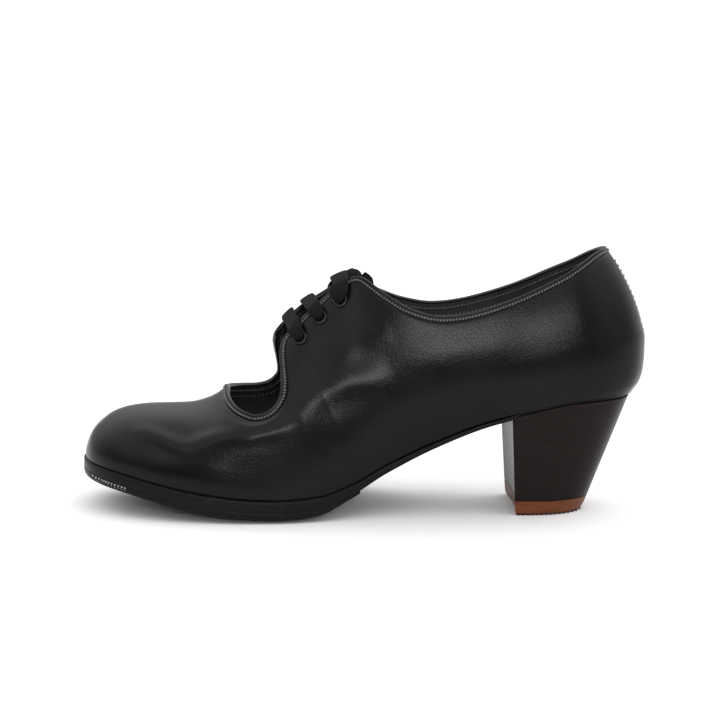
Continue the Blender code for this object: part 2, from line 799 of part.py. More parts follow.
def eyelet_frame(row, side):
    """An eyelet's centre on the upper, its axis, and the way from it to the throat."""
    place, height, rise, ahead = row
    if side == FAR:
        place -= ahead
        height += rise
    station, turn = side_point(place, height * INSTEP_HEIGHT, side)
    centre = last_point(station, turn, side)
    normal = surface_normal(station, turn, side)
    ahead = last_point(station, min(turn + 0.1, math.pi / 2), side) - centre
    inward = (ahead - normal * ahead.dot(normal)).normalized()
    return centre, normal, inward


def turned_ring(name, look, profile, centre, normal, inward):
    """A ring from a closed profile of radius and height pairs, turned round an axis."""
    sideways = normal.cross(inward)
    points = []
    for step in range(ROUND_SIDES):
        angle = 2.0 * math.pi * step / ROUND_SIDES
        out = inward * math.cos(angle) + sideways * math.sin(angle)
        points += [centre + out * radius + normal * height for radius, height in profile]
    count = len(profile)
    faces = []
    for step in range(ROUND_SIDES):
        after = (step + 1) % ROUND_SIDES
        for spot in range(count):
            near = (spot + 1) % count
            faces.append((step * count + spot, after * count + spot,
                          after * count + near, step * count + near))
    return add_object(name, points, faces, look)


def build_eyelets(look):
    sink = UPPER_WALL + 2.0 * GAP
    top = GAP + EYELET_RIM
    dome = EYELET_RIM * EYELET_DOME
    profile = (
        (EYELET_BORE_RADIUS, -sink),
        (EYELET_BORE_RADIUS, top - dome),
        (EYELET_BORE_RADIUS + dome, top),
        (EYELET_RADIUS - EYELET_RIM, top),
        (EYELET_RADIUS, top - dome),
        (EYELET_RADIUS, GAP),
        (EYELET_BARREL_RADIUS, GAP),
        (EYELET_BARREL_RADIUS, -sink),
    )
    for side, word in ((NEAR, "near"), (FAR, "far")):
        for number, row in enumerate(EYELETS, 1):
            centre, normal, inward = eyelet_frame(row, side)
            turned_ring(f"eyelet_{word}_{number}", look, profile, centre, normal, inward)


def cut_eyelet_holes(upper):
    """One cutter with a closed cylinder through the wall at each eyelet."""
    depth = 4.0 * UPPER_WALL
    radius = EYELET_BARREL_RADIUS + GAP
    shape = bmesh.new()
    for side in (NEAR, FAR):
        for row in EYELETS:
            centre, normal, inward = eyelet_frame(row, side)
            axes = Matrix((inward, normal.cross(inward), normal)).transposed().to_4x4()
            middle = centre - normal * UPPER_WALL / 2.0
            bmesh.ops.create_cone(shape, cap_ends=True, segments=ROUND_SIDES, radius1=radius, radius2=radius,
                                  depth=depth, matrix=Matrix.Translation(middle) @ axes)
    mesh = bpy.data.meshes.new("eyelet_holes_cutter")
    shape.to_mesh(mesh)
    shape.free()
    cutter = bpy.data.objects.new("eyelet_holes_cutter", mesh)
    bpy.context.scene.collection.objects.link(cutter)
    cutter.hide_render = True
    cutter.display_type = "WIRE"
    cut = upper.modifiers.new("eyelet_holes", "BOOLEAN")
    cut.operation = "DIFFERENCE"
    cut.solver = "EXACT"
    cut.object = cutter


def squared(value):
    """A sine or cosine drawn toward 1, so that a round section turns into a flat one."""
    return math.copysign(abs(value) ** LACE_SQUARENESS, value)


def flat_sweep(name, look, spots, breadths, widths, thicknesses):
    """A flat cord along spots, whose wide direction at each is its breadth."""
    points = []
    for index, spot in enumerate(spots):
        before = spots[max(index - 1, 0)]
        after = spots[min(index + 1, len(spots) - 1)]
        run = (after - before).normalized()
        breadth = (breadths[index] - run * breadths[index].dot(run)).normalized()
        thin = run.cross(breadth)
        for side in range(LACE_SIDES):
            angle = 2.0 * math.pi * side / LACE_SIDES
            wide = squared(math.cos(angle)) * widths[index] / 2.0
            deep = squared(math.sin(angle)) * thicknesses[index] / 2.0
            points.append(spot + breadth * wide + thin * deep)
    faces = [list(range(LACE_SIDES)), list(range(len(points) - LACE_SIDES, len(points)))]
    for index in range(len(spots) - 1):
        for side in range(LACE_SIDES):
            after = (side + 1) % LACE_SIDES
            faces.append((index * LACE_SIDES + side, index * LACE_SIDES + after,
                          (index + 1) * LACE_SIDES + after, (index + 1) * LACE_SIDES + side))
    return add_object(name, points, faces, look)


def facing_edge(place, side):
    """The point of the throat's edge at a place on one side, and the way out of the upper there."""
    facing = [row for row in OPENING_EDGE if FACING_START < row[0] < FACING_END]
    sign = 1.0 if side == FAR else 0.0
    spots = [(row[0] - sign * row[3], row[1] + sign * row[2]) for row in facing]
    low = max([spot for spot in spots[:-1] if spot[0] <= place], default=spots[0])
    high = spots[spots.index(low) + 1]
    height = low[1] + (high[1] - low[1]) * (place - low[0]) / (high[0] - low[0])
    station, turn = side_point(place, height * INSTEP_HEIGHT, side)
    return last_point(station, turn, side), surface_normal(station, turn, side)


def bar_half(eyelet, crossing, side):
    """One half of a lace bar, from just above its eyelet to the edge of the throat."""
    centre, normal, inward = eyelet_frame(eyelet, side)
    edge, edge_normal = facing_edge(crossing, side)
    run = edge - centre
    toward = (run - normal * run.dot(normal)).normalized()
    breadth = normal.cross(toward) * side
    step = LACE_WIDTH / SHOE_LENGTH / 2.0
    edge_run = facing_edge(crossing + step, side)[0] - facing_edge(crossing - step, side)[0]
    edge_breadth = (edge_run * math.copysign(1.0, edge_run.dot(breadth))).normalized()
    clear = EYELET_RIM + 2.0 * GAP
    over_edge = BINDING_RAISE + GAP + LACE_THICKNESS * LACE_OVER_EDGE
    rows = []
    for rise, reach, wide, thick in LACE_EXIT:
        spot = centre + normal * (clear + rise * LACE_THICKNESS) + toward * reach * EYELET_RADIUS
        rows.append((spot, breadth, wide, thick))
    rows.append((edge + edge_normal * over_edge, edge_breadth, 1.0, 1.0))
    return rows


def build_lace_bars(look):
    for number, (eyelet, (near_place, far_place, arch)) in enumerate(zip(EYELETS, LACE_BARS), 1):
        near = bar_half(eyelet, near_place, NEAR)
        far = bar_half(eyelet, far_place, FAR)
        middle = (near[-1][0] + far[-1][0]) / 2.0
        breadth = (near[-1][1] + far[-1][1]).normalized()
        up = breadth.cross(Vector((0.0, 1.0, 0.0))).normalized()
        up *= math.copysign(1.0, up.z)
        rows = near + [(middle + up * arch * LACE_WIDTH, breadth, 1.0, 1.0)] + far[::-1]
        flat = [list(spot) + list(across) + [wide, thick] for spot, across, wide, thick in rows]
        fine = [smooth_row(flat, step / 2.0) for step in range(2 * len(flat) - 1)]
        spots = [Vector(row[:3]) for row in fine]
        breadths = [Vector(row[3:6]) for row in fine]
        widths = [row[6] * LACE_WIDTH for row in fine]
        thicknesses = [row[7] * LACE_THICKNESS for row in fine]
        flat_sweep(f"lace_bar_{number}", look, spots, breadths, widths, thicknesses)


def lace_spot(row):
    """A point of the tied lace from its shares of length, ball width and instep height."""
    return Vector((along(row[0]), row[1] * BALL_WIDTH, row[2] * INSTEP_HEIGHT))


def build_knot(look):
    shape = bmesh.new()
    bmesh.ops.create_icosphere(shape, subdivisions=2, radius=1.0)
    for vertex in shape.verts:
        vertex.co = Vector(value * radius for value, radius in zip(vertex.co, KNOT_RADII))
    turn = Matrix.Rotation(math.radians(-KNOT_TILT), 4, "Y")
    centre = Matrix.Translation(lace_spot(KNOT_CENTRE))
    bmesh.ops.transform(shape, matrix=centre @ turn, verts=shape.verts[:])
    mesh = bpy.data.meshes.new("lace_knot")
    shape.to_mesh(mesh)
    shape.free()
    mesh.materials.append(look)
    mesh.shade_smooth()
    knot = bpy.data.objects.new("lace_knot", mesh)
    bpy.context.scene.collection.objects.link(knot)


def build_lace_end(name, look, route):
    """A tucked lace end as a tube along its route."""
    curve = bpy.data.curves.new(name, "CURVE")
    curve.dimensions = "3D"
    curve.bevel_depth = LACE_END_DIAMETER / 2.0
    curve.bevel_resolution = 2
    curve.use_fill_caps = True
    fine = [smooth_row(route, step / 2.0) for step in range(2 * len(route) - 1)]
    spline = curve.splines.new("POLY")
    spline.points.add(len(fine) - 1)
    for point, row in zip(spline.points, fine):
        point.co = (*lace_spot(row), 1.0)
    curve.materials.append(look)
    end = bpy.data.objects.new(name, curve)
    bpy.context.scene.collection.objects.link(end)


def main():
    clear_scene()
    leather = material("upper_leather", 0.42)
    upper = build_upper(leather)
    cut_eyelet_holes(upper)
    build_insole(material("insole_leather", 0.60))
    sole_leather = material("sole_leather", 0.55)
    build_outsole(sole_leather)
    build_half_sole(sole_leather)
    build_heel(material("heel_wood", 0.35))
    build_lift(material("lift_leather", 0.50))
    build_eyelets(material("eyelet_metal", 0.25, 0.8))
    lace = material("lace_cotton", 0.85)
    build_lace_bars(lace)
    build_knot(lace)
    build_lace_end("lace_end_near", lace, LACE_END_NEAR)
    build_lace_end("lace_end_far", lace, LACE_END_FAR)


main()
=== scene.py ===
"""Looks of the flamenco shoe: smooth leather, stitches, laces, nails, studio and camera.

Metres, +Z up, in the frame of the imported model. The toe points to -X and the side in the photo
is at -Y. A place along the shoe is its share of the length from the toe.
"""

import math

import bmesh
import bpy
import numpy as np
from mathutils import Matrix, Quaternion, Vector


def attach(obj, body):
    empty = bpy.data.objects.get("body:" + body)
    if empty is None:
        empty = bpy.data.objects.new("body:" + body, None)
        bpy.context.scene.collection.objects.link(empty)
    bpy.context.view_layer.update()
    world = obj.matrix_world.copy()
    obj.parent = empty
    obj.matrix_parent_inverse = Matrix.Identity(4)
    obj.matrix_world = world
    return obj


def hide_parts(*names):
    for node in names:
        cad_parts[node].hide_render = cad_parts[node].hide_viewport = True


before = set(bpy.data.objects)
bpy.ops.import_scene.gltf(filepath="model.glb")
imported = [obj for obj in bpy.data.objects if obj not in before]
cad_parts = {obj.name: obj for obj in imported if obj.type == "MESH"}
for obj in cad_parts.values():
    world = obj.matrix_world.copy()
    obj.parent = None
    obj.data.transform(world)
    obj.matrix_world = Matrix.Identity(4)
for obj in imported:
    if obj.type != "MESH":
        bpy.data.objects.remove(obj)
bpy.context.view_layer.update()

# Sizes of the last and the sole
SHOE_LENGTH = 0.2476
BALL_WIDTH = 0.0830
INSTEP_HEIGHT = 0.1075
HEEL_HEIGHT = 0.0535
TOE_SPRING = 0.0117
GAP = 0.0003
FEATHER_GAP = 0.0006

# Sizes of the upper, its binding and the insole
UPPER_WALL = 0.0018
BINDING_WIDTH = 0.0030
BINDING_RAISE = 0.0004
INSOLE_THICKNESS = 0.0022
INSOLE_CLEARANCE = 0.0009
INSOLE_TOE_CLEARANCE = 0.0014

# Sizes of the outsole and the half sole
OUTSOLE_THICKNESS = 0.0052
HALF_SOLE_THICKNESS = 0.0029
HALF_SOLE_END_THICKNESS = 0.0012
SOLE_MARGIN = 0.0007
SOLE_EDGE_LIFT = 0.0016
SOLE_CROWN = 0.0022
GROOVE_DEPTH = 0.0014
GROOVE_HEIGHT = 0.0013
EDGE_BEVEL = 0.0005
SEAT_INSET = 0.0020

# Sizes of the heel and its lift
HEEL_BASE_LENGTH = 0.0320
HEEL_BASE_WIDTH = 0.0420
HEEL_BREAST_HOLLOW = 0.0012
HEEL_TOP_INSET = 0.0014
LIFT_HEIGHT = 0.0068

# Sizes of the eyelets and the lace
EYELET_RADIUS = 0.0032
EYELET_RIM = 0.0007
EYELET_BARREL_RADIUS = 0.0022
EYELET_BORE_RADIUS = 0.0017
LACE_WIDTH = 0.0066
LACE_THICKNESS = 0.0015
LACE_END_DIAMETER = 0.0046
LACE_OVER_EDGE = 0.70

# Places along the shoe, as shares of its length
TOE_EASE_END = 0.040
TOE_PATHS_END = 0.300
GROOVE_END_START = 0.737
SEAT_EASE_START = 0.753
HALF_SOLE_SKIVE_START = 0.405
HALF_SOLE_END = 0.487
CROWN_END = 0.500
BREAST_PLACE = 0.757
SEAT_START = 0.775
HEEL_BASE_START = 0.767

# How fine the meshes are
COLUMN_STEPS = 8
WALL_ROWS = 64
FOREFOOT_ROWS = 84
SHANK_ROWS = 40
HEEL_ROWS = 44
SOLE_ACROSS = 20
HEEL_ACROSS = 22
HEEL_LEVELS = 26
ROUND_SIDES = 40
LACE_SIDES = 24
LACE_STEPS = 7

NEAR = -1.0
FAR = 1.0
SIDE_NAMES = {NEAR: "near", FAR: "far"}

# The last, section by section, from the toe to the back.
# place: share of length. toe_rise and heel_rise: the feather line's rise above the ball, as shares
# of the toe spring and of the heel's rise. crest: top of the section, share of instep height.
# near and far: half widths, share of ball width. tuck_near and tuck_far: how far the feather line
# lies inside that half width, same share. open: 0 where the section closes over the instep.
# fullness and roundness: powers of the section's curve, 2 and 2 for an ellipse.
LAST_COLUMNS = ("place", "toe_rise", "heel_rise", "crest", "near", "far", "tuck_near", "tuck_far",
                "open", "fullness", "roundness")
LAST_SECTIONS = (
    (0.0000, 1.000, 0.000, 0.205, 0.000, 0.000, 0.000, 0.000, 0.00, 2.00, 2.00),
    (0.0048, 0.970, 0.000, 0.264, 0.110, 0.110, 0.003, 0.003, 0.00, 2.00, 2.00),
    (0.0129, 0.940, 0.000, 0.305, 0.178, 0.178, 0.005, 0.005, 0.00, 2.00, 2.00),
    (0.0275, 0.905, 0.000, 0.342, 0.250, 0.250, 0.007, 0.007, 0.00, 2.00, 2.05),
    (0.0513, 0.846, 0.000, 0.380, 0.325, 0.323, 0.009, 0.009, 0.00, 2.00, 2.10),
    (0.0788, 0.755, 0.000, 0.400, 0.379, 0.376, 0.010, 0.010, 0.00, 2.00, 2.15),
    (0.1143, 0.600, 0.000, 0.410, 0.425, 0.420, 0.010, 0.010, 0.00, 2.00, 2.20),
    (0.1502, 0.444, 0.000, 0.413, 0.458, 0.447, 0.010, 0.010, 0.00, 2.00, 2.15),
    (0.1858, 0.308, 0.000, 0.418, 0.482, 0.467, 0.011, 0.011, 0.00, 1.90, 2.10),
    (0.2213, 0.192, 0.000, 0.442, 0.497, 0.483, 0.013, 0.014, 0.00, 1.80, 2.05),
    (0.2532, 0.111, 0.000, 0.494, 0.504, 0.493, 0.014, 0.016, 0.00, 1.65, 2.00),
    (0.2912, 0.040, 0.000, 0.591, 0.506, 0.501, 0.016, 0.017, 0.00, 1.45, 2.00),
    (0.3437, 0.000, 0.000, 0.742, 0.500, 0.508, 0.020, 0.017, 0.00, 1.30, 2.00),
    (0.4124, 0.000, 0.023, 0.912, 0.468, 0.501, 0.030, 0.027, 0.00, 1.30, 2.00),
    (0.4730, 0.000, 0.132, 0.995, 0.425, 0.473, 0.042, 0.036, 0.05, 1.45, 2.00),
    (0.5335, 0.000, 0.317, 1.005, 0.388, 0.436, 0.054, 0.042, 0.28, 1.65, 2.00),
    (0.6183, 0.000, 0.549, 0.955, 0.374, 0.398, 0.060, 0.036, 0.43, 2.00, 2.00),
    (0.7153, 0.000, 0.766, 0.960, 0.367, 0.371, 0.054, 0.046, 0.45, 2.00, 2.00),
    (0.7960, 0.000, 0.882, 1.023, 0.365, 0.365, 0.040, 0.040, 0.30, 2.00, 2.00),
    (0.8770, 0.000, 0.975, 1.116, 0.353, 0.353, 0.032, 0.032, 0.15, 2.00, 2.00),
    (0.9170, 0.000, 0.993, 1.153, 0.325, 0.325, 0.026, 0.026, 0.10, 2.00, 2.00),
    (0.9580, 0.000, 1.000, 1.160, 0.259, 0.259, 0.018, 0.018, 0.10, 2.00, 2.00),
    (0.9790, 0.000, 1.000, 1.160, 0.195, 0.195, 0.012, 0.012, 0.10, 2.00, 2.00),
    (0.9940, 0.000, 1.000, 1.160, 0.106, 0.106, 0.006, 0.006, 0.10, 2.00, 2.00),
    (1.0000, 0.000, 1.000, 1.160, 0.000, 0.000, 0.000, 0.000, 0.10, 2.00, 2.00),
)

# The back seam's curve: how far it lies ahead of the rearmost point, by height.
# height: share of instep height. ahead: share of length.
BACK_COLUMNS = ("height", "ahead")
BACK_CURVE = (
    (0.480, 0.0230),
    (0.498, 0.0200),
    (0.539, 0.0085),
    (0.590, 0.0020),
    (0.655, 0.0000),
    (0.716, 0.0000),
    (0.791, 0.0077),
    (0.865, 0.0186),
    (0.941, 0.0339),
    (1.018, 0.0529),
    (1.067, 0.0680),
    (1.092, 0.0775),
    (1.180, 0.1080),
)
BACK_LEAN_START = 0.70

# The feather line's tuck fades out at this share of the section's height.
TUCK_HEIGHT = 0.4

# The heel base's outline as powers of its curve, fuller than an ellipse.
HEEL_BASE_FULLNESS = 2.6
HEEL_BASE_ROUNDNESS = 0.46

# Steps along the sections for directions on the upper, and rounds to find a leaning section.
NORMAL_STEP = 0.004
EDGE_STEP = 0.003
LEAN_ROUNDS = 8

# The opening's edge on one side, from the middle of the vamp to the back seam, and where the
# column of the wall that starts at each point reaches the feather line.
# along and foot_along: shares of length. height: share of instep height on the near side.
# far_rise: how much higher the far side's edge is there, share of instep height.
# far_ahead: how much nearer to the toe it is there, share of length.
OPENING_EDGE = (
    (0.2525, 0.4940, 0.0000, 0.0000, 0.000),
    (0.2532, 0.4850, 0.0000, 0.0000, 0.010),
    (0.2571, 0.4700, 0.0060, -0.0030, 0.036),
    (0.2650, 0.4530, 0.0165, -0.0040, 0.078),
    (0.2760, 0.4390, 0.0260, -0.0030, 0.128),
    (0.2890, 0.4290, 0.0320, -0.0030, 0.182),
    (0.3029, 0.4240, 0.0350, -0.0020, 0.234),
    (0.3200, 0.4350, 0.0290, 0.0000, 0.284),
    (0.3347, 0.4600, 0.0190, 0.0020, 0.324),
    (0.3451, 0.5000, 0.0050, 0.0035, 0.358),
    (0.3476, 0.5369, 0.0000, 0.0050, 0.388),
    (0.3472, 0.5800, 0.0000, 0.0075, 0.418),
    (0.3450, 0.6350, 0.0000, 0.0100, 0.446),
    (0.3455, 0.6700, 0.0000, 0.0120, 0.472),
    (0.3500, 0.7070, 0.0020, 0.0130, 0.496),
    (0.3618, 0.7423, 0.0080, 0.0120, 0.520),
    (0.3874, 0.8061, 0.0060, 0.0084, 0.548),
    (0.4168, 0.8705, -0.0115, 0.0048, 0.574),
    (0.4440, 0.9280, -0.0280, 0.0020, 0.597),
    (0.4640, 0.9580, -0.0400, 0.0000, 0.616),
    (0.4840, 0.9675, -0.0550, 0.0000, 0.634),
    (0.5020, 0.9480, -0.0500, 0.0000, 0.652),
    (0.5320, 0.9030, -0.0360, 0.0000, 0.676),
    (0.5700, 0.8560, -0.0200, 0.0000, 0.706),
    (0.6225, 0.8276, -0.0086, 0.0000, 0.746),
    (0.6850, 0.8470, -0.0070, 0.0000, 0.794),
    (0.7625, 0.9076, -0.0096, 0.0000, 0.850),
    (0.8330, 0.9835, -0.0120, 0.0000, 0.904),
    (0.8720, 1.0380, -0.0240, 0.0000, 0.944),
    (0.9010, 1.0780, -0.0200, 0.0000, 0.976),
    (0.9230, 1.0900, 0.0000, 0.0000, 1.000),
)

# The outsole's thickness at the edge. place: share of length. layer: share of its thickness.
SOLE_COLUMNS = ("place", "layer")
SOLE_PROFILE = (
    (0.000, 0.77),
    (0.050, 0.88),
    (0.130, 0.94),
    (0.230, 1.00),
    (0.400, 1.00),
    (0.487, 0.80),
    (0.560, 0.62),
    (0.640, 0.46),
    (0.700, 0.39),
    (0.757, 0.32),
    (0.775, 0.14),
    (1.000, 0.14),
)

# Eyelets from the toe to the collar. along: share of length. height: share of instep height.
# far_rise and far_ahead: the far one's difference, as for the opening's edge.
EYELETS = (
    (0.3804, 0.7225, 0.0060, 0.0084),
    (0.4144, 0.8045, -0.0100, 0.0050),
    (0.4497, 0.8728, -0.0280, 0.0020),
)

# The lace bars from the toe to the collar: where each crosses the near and the far edge of the
# throat, as shares of length, and how far its middle arches, as a share of the lace's width.
LACE_BARS = (
    (0.3717, 0.3637, 0.05),
    (0.4041, 0.3963, 0.05),
    (0.4530, 0.4570, 0.40),
)
FACING_START = 0.349
FACING_END = 0.490

# A lace's form above its eyelet. rise: share of its thickness above the rim.
# reach: share of the eyelet's radius toward the throat. wide and thick: shares of its full size.
LACE_EXIT = (
    (0.6, 0.07, 0.74, 1.30),
    (1.2, 0.55, 0.97, 1.15),
    (1.2, 1.38, 1.04, 1.00),
)

# The tied lace at the top: the knot and its two ends, which tuck down inside the throat.
# Each point is a share of length, a share of ball width across and a share of instep height.
KNOT_CENTRE = (0.4744, 0.000, 0.953)
KNOT_RADII = (0.0040, 0.0052, 0.0034)
KNOT_TILT = 30.0
LACE_END_NEAR = (
    (0.4948, -0.022, 0.951),
    (0.5000, -0.034, 0.938),
    (0.5010, -0.047, 0.914),
    (0.4975, -0.058, 0.886),
    (0.4890, -0.065, 0.858),
    (0.4770, -0.067, 0.832),
    (0.4630, -0.062, 0.808),
    (0.4480, -0.055, 0.786),
    (0.4310, -0.046, 0.768),
    (0.4130, -0.036, 0.752),
)
LACE_END_FAR = (
    (0.4912, 0.040, 0.952),
    (0.5012, 0.058, 0.932),
    (0.5028, 0.072, 0.904),
    (0.4963, 0.077, 0.874),
    (0.4850, 0.075, 0.847),
    (0.4705, 0.067, 0.820),
    (0.4535, 0.058, 0.798),
    (0.4365, 0.048, 0.778),
    (0.4190, 0.040, 0.762),
)


class Table:
    """A table whose columns are read between its rows by a curve that does not overshoot."""

    def __init__(self, names, rows, key):
        self.keys = [key(row[0]) for row in rows]
        self.columns = {}
        for index, name in enumerate(names):
            values = [row[index] for row in rows]
            self.columns[name] = (values, self.slopes(values))

    def slopes(self, values):
        steps = [b - a for a, b in zip(self.keys, self.keys[1:])]
        rises = [(b - a) / step for a, b, step in zip(values, values[1:], steps)]
        inner = []
        for before, after in zip(rises, rises[1:]):
            inner.append(0.0 if before * after <= 0.0 else 2.0 * before * after / (before + after))
        return [rises[0]] + inner + [rises[-1]]

    def read(self, name, at):
        values, slopes = self.columns[name]
        at = min(max(at, self.keys[0]), self.keys[-1])
        row = 0
        while row < len(self.keys) - 2 and at > self.keys[row + 1]:
            row += 1
        step = self.keys[row + 1] - self.keys[row]
        t = (at - self.keys[row]) / step
        start = (1 + 2 * t) * (1 - t) ** 2 * values[row] + t * (1 - t) ** 2 * step * slopes[row]
        end = t * t * (3 - 2 * t) * values[row + 1] + t * t * (t - 1) * step * slopes[row + 1]
        return start + end


def station_of(place):
    """The section number from 0 at the toe to 1 at the back, closer together at both round ends."""
    return math.acos(1.0 - 2.0 * min(max(place, 0.0), 1.0)) / math.pi


def place_of(station):
    return (1.0 - math.cos(math.pi * station)) / 2.0


LAST = Table(LAST_COLUMNS, LAST_SECTIONS, station_of)
BACK = Table(BACK_COLUMNS, BACK_CURVE, float)
SOLE = Table(SOLE_COLUMNS, SOLE_PROFILE, float)


def along(place):
    """A place as a distance from the middle of the whole shoe, whose toe end is the sole's margin."""
    return (place - 0.5) * SHOE_LENGTH + SOLE_MARGIN / 2.0


def place_at(x):
    return (x - SOLE_MARGIN / 2.0) / SHOE_LENGTH + 0.5


def soft_step(share):
    return share * share * (3.0 - 2.0 * share)


def foot_height(station):
    """The height of the upper's feather line above the floor."""
    ball = HALF_SOLE_THICKNESS + GAP + OUTSOLE_THICKNESS + FEATHER_GAP + SOLE_EDGE_LIFT
    toe = LAST.read("toe_rise", station) * TOE_SPRING
    return ball + toe + LAST.read("heel_rise", station) * (HEEL_HEIGHT - ball)


def section_height(station):
    return LAST.read("crest", station) * INSTEP_HEIGHT - foot_height(station)


def lean(place, height):
    """How far a point near the back moves forward so that the back seam keeps its curve."""
    ramp = soft_step(max(place - BACK_LEAN_START, 0.0) / (1.0 - BACK_LEAN_START))
    return ramp * BACK.read("ahead", height / INSTEP_HEIGHT) * SHOE_LENGTH


def last_point(station, turn, side):
    """A point of the upper's outer face. turn is 0 at the feather line and a quarter turn on top."""
    rise = math.sin(turn) ** 2
    share = rise ** (1.0 / LAST.read("fullness", station))
    half = LAST.read(SIDE_NAMES[side], station) * BALL_WIDTH
    tuck = LAST.read("tuck_" + SIDE_NAMES[side], station) * BALL_WIDTH
    closed = max(0.0, 1.0 - (1.0 - LAST.read("open", station)) * rise)
    across = half * closed ** (1.0 / LAST.read("roundness", station))
    across -= tuck * max(0.0, 1.0 - share / TUCK_HEIGHT) ** 2
    height = foot_height(station) + section_height(station) * share
    place = place_of(station)
    return Vector((along(place) - lean(place, height), side * across, height))


def nearest_station(x, height):
    """The station of the section that passes a distance along the shoe at a height."""
    station = station_of(place_at(x))
    for _ in range(LEAN_ROUNDS):
        station = station_of(place_at(x + lean(place_of(station), height)))
    return station


def rise_at(station, height):
    """The squared sine of the turn at which a section reaches a height."""
    share = (height - foot_height(station)) / section_height(station)
    return min(max(share, 0.0), 1.0) ** LAST.read("fullness", station)


def turn_at(station, height):
    return math.asin(math.sqrt(rise_at(station, height)))


def locate(point, side):
    """The station and turn of the last's point that is nearest to one close to its surface."""
    station = nearest_station(point.x, point.z)
    half = LAST.read(SIDE_NAMES[side], station) * BALL_WIDTH
    across = min(max(side * point.y, 0.0) / half, 1.0)
    opened = LAST.read("open", station)
    level = max(0.0, across ** LAST.read("roundness", station) - opened) / (1.0 - opened)
    return station, math.atan2(math.sqrt(rise_at(station, point.z)), math.sqrt(level))


def surface_normal(station, turn, side):
    low_station = max(station - NORMAL_STEP, NORMAL_STEP / 8.0)
    high_station = min(station + NORMAL_STEP, 1.0 - NORMAL_STEP / 8.0)
    low_turn = max(turn - NORMAL_STEP, 0.0)
    high_turn = min(turn + NORMAL_STEP, math.pi / 2)
    by_station = last_point(high_station, turn, side) - last_point(low_station, turn, side)
    by_turn = last_point(station, high_turn, side) - last_point(station, low_turn, side)
    normal = by_turn.cross(by_station) * side
    return normal.normalized()


def side_point(place, height):
    """The station and turn of the last's point with this place along and this height."""
    station = nearest_station(along(place), height)
    return station, turn_at(station, height)


def smooth_row(rows, position):
    """A row between the rows of a table, on a Catmull-Rom curve through them."""
    count = len(rows)
    index = min(int(position), count - 2)
    t = position - index
    a, b, c, d = (rows[min(max(index + k, 0), count - 1)] for k in (-1, 0, 1, 2))
    made = []
    for p, q, r, s in zip(a, b, c, d):
        value = q + 0.5 * t * (r - p + t * (2 * p - 5 * q + 4 * r - s + t * (3 * (q - r) + s - p)))
        made.append(value)
    return made


def edge_loop():
    """The opening's edge as station, turn, side and foot station, all round: near side, then far."""
    count = (len(OPENING_EDGE) - 1) * COLUMN_STEPS
    loop = []
    for side in (NEAR, FAR):
        half = []
        for index in range(count + 1):
            place, height, rise, ahead, foot_place = smooth_row(OPENING_EDGE, index / COLUMN_STEPS)
            if side == FAR:
                height += rise
                place -= ahead
            station, turn = side_point(place, height * INSTEP_HEIGHT)
            if index == 0:
                turn = math.pi / 2
            if index == count:
                station = 1.0
            half.append((station, turn, side, station_of(foot_place)))
        loop += half if side == NEAR else half[-2:0:-1]
    return loop


def binding_line(loop, points, index, distance):
    """The station and turn at a distance from the edge into the leather, square to it."""
    station, turn, side, _ = loop[index]
    ahead = points[(index + 1) % len(points)] - points[index - 1]
    normal = surface_normal(station, turn, side)
    away = ahead.cross(normal).normalized()
    target = points[index] + away * distance
    if abs(points[index].y) < 1e-6:
        target.y = 0.0
        if station < 0.5:
            return station_of(place_at(target.x)), math.pi / 2
        return 1.0, turn_at(1.0, target.z)
    return locate(target, side)


def wall_point(station, turn, side, foot, down):
    """A point part of the way down a column of the wall, from its start to its foot."""
    place, foot_place = place_of(station), place_of(foot)
    turned = turn * (1.0 - down)
    if foot_place > TOE_PATHS_END:
        return last_point(station + (foot - station) * down, turned, side)
    roundness = LAST.read("roundness", station)
    start_out = math.cos(turn) ** (2.0 / roundness)
    out = math.cos(turned) ** (2.0 / roundness)
    run = (out - start_out) / (1.0 - start_out)
    name = SIDE_NAMES[side]
    start_y = LAST.read(name, station) * start_out
    foot_y = LAST.read(name, foot)
    here = station_of(place + (foot_place - place) * run)
    y = start_y + (foot_y - start_y) * run
    half = max(LAST.read(name, here), 1e-9)
    level = min(y / half, 1.0) ** (LAST.read("roundness", here) / 2.0)
    return last_point(here, math.acos(level), side)


def foot_edge(station, side, offset):
    """A point of the feather line, moved outward in plan by offset."""
    point = last_point(station, 0.0, side)
    if station <= 0.0 or station >= 1.0:
        return Vector((point.x + (offset if station >= 1.0 else -offset), 0.0, point.z))
    run = last_point(min(station + EDGE_STEP, 1.0), 0.0, side)
    run -= last_point(max(station - EDGE_STEP, 0.0), 0.0, side)
    return point + Vector((-side * run.y, side * run.x, 0.0)).normalized() * offset


def fade(place, start, end):
    """1 before start, 0 after end, and a soft step between them."""
    return 1.0 - soft_step(min(max((place - start) / (end - start), 0.0), 1.0))


def crown(station, across):
    """How far the sole's middle hangs below its edge. across runs from -1 to 1."""
    place = place_of(station)
    width = (LAST.read("near", station) + LAST.read("far", station)) / 2.0
    full = SOLE_CROWN * (2.0 * width) ** 2 * fade(place, HALF_SOLE_SKIVE_START, CROWN_END)
    return full * (1.0 - across * across)


def layer_of(station):
    return SOLE.read("layer", place_of(station))


def outsole_layer(station):
    return layer_of(station) * OUTSOLE_THICKNESS


def half_sole_thickness(station):
    skive = fade(place_of(station), HALF_SOLE_SKIVE_START, HALF_SOLE_END)
    return HALF_SOLE_END_THICKNESS + (HALF_SOLE_THICKNESS - HALF_SOLE_END_THICKNESS) * skive


def outsole_top(station):
    return foot_height(station) - FEATHER_GAP


def outsole_bottom(station):
    return outsole_top(station) - outsole_layer(station)


def sole_offset(station):
    """The sole's edge stands out a little, and draws in above the heel."""
    share = fade(place_of(station), SEAT_EASE_START, SEAT_START)
    return SOLE_MARGIN * share - SEAT_INSET * (1.0 - share)


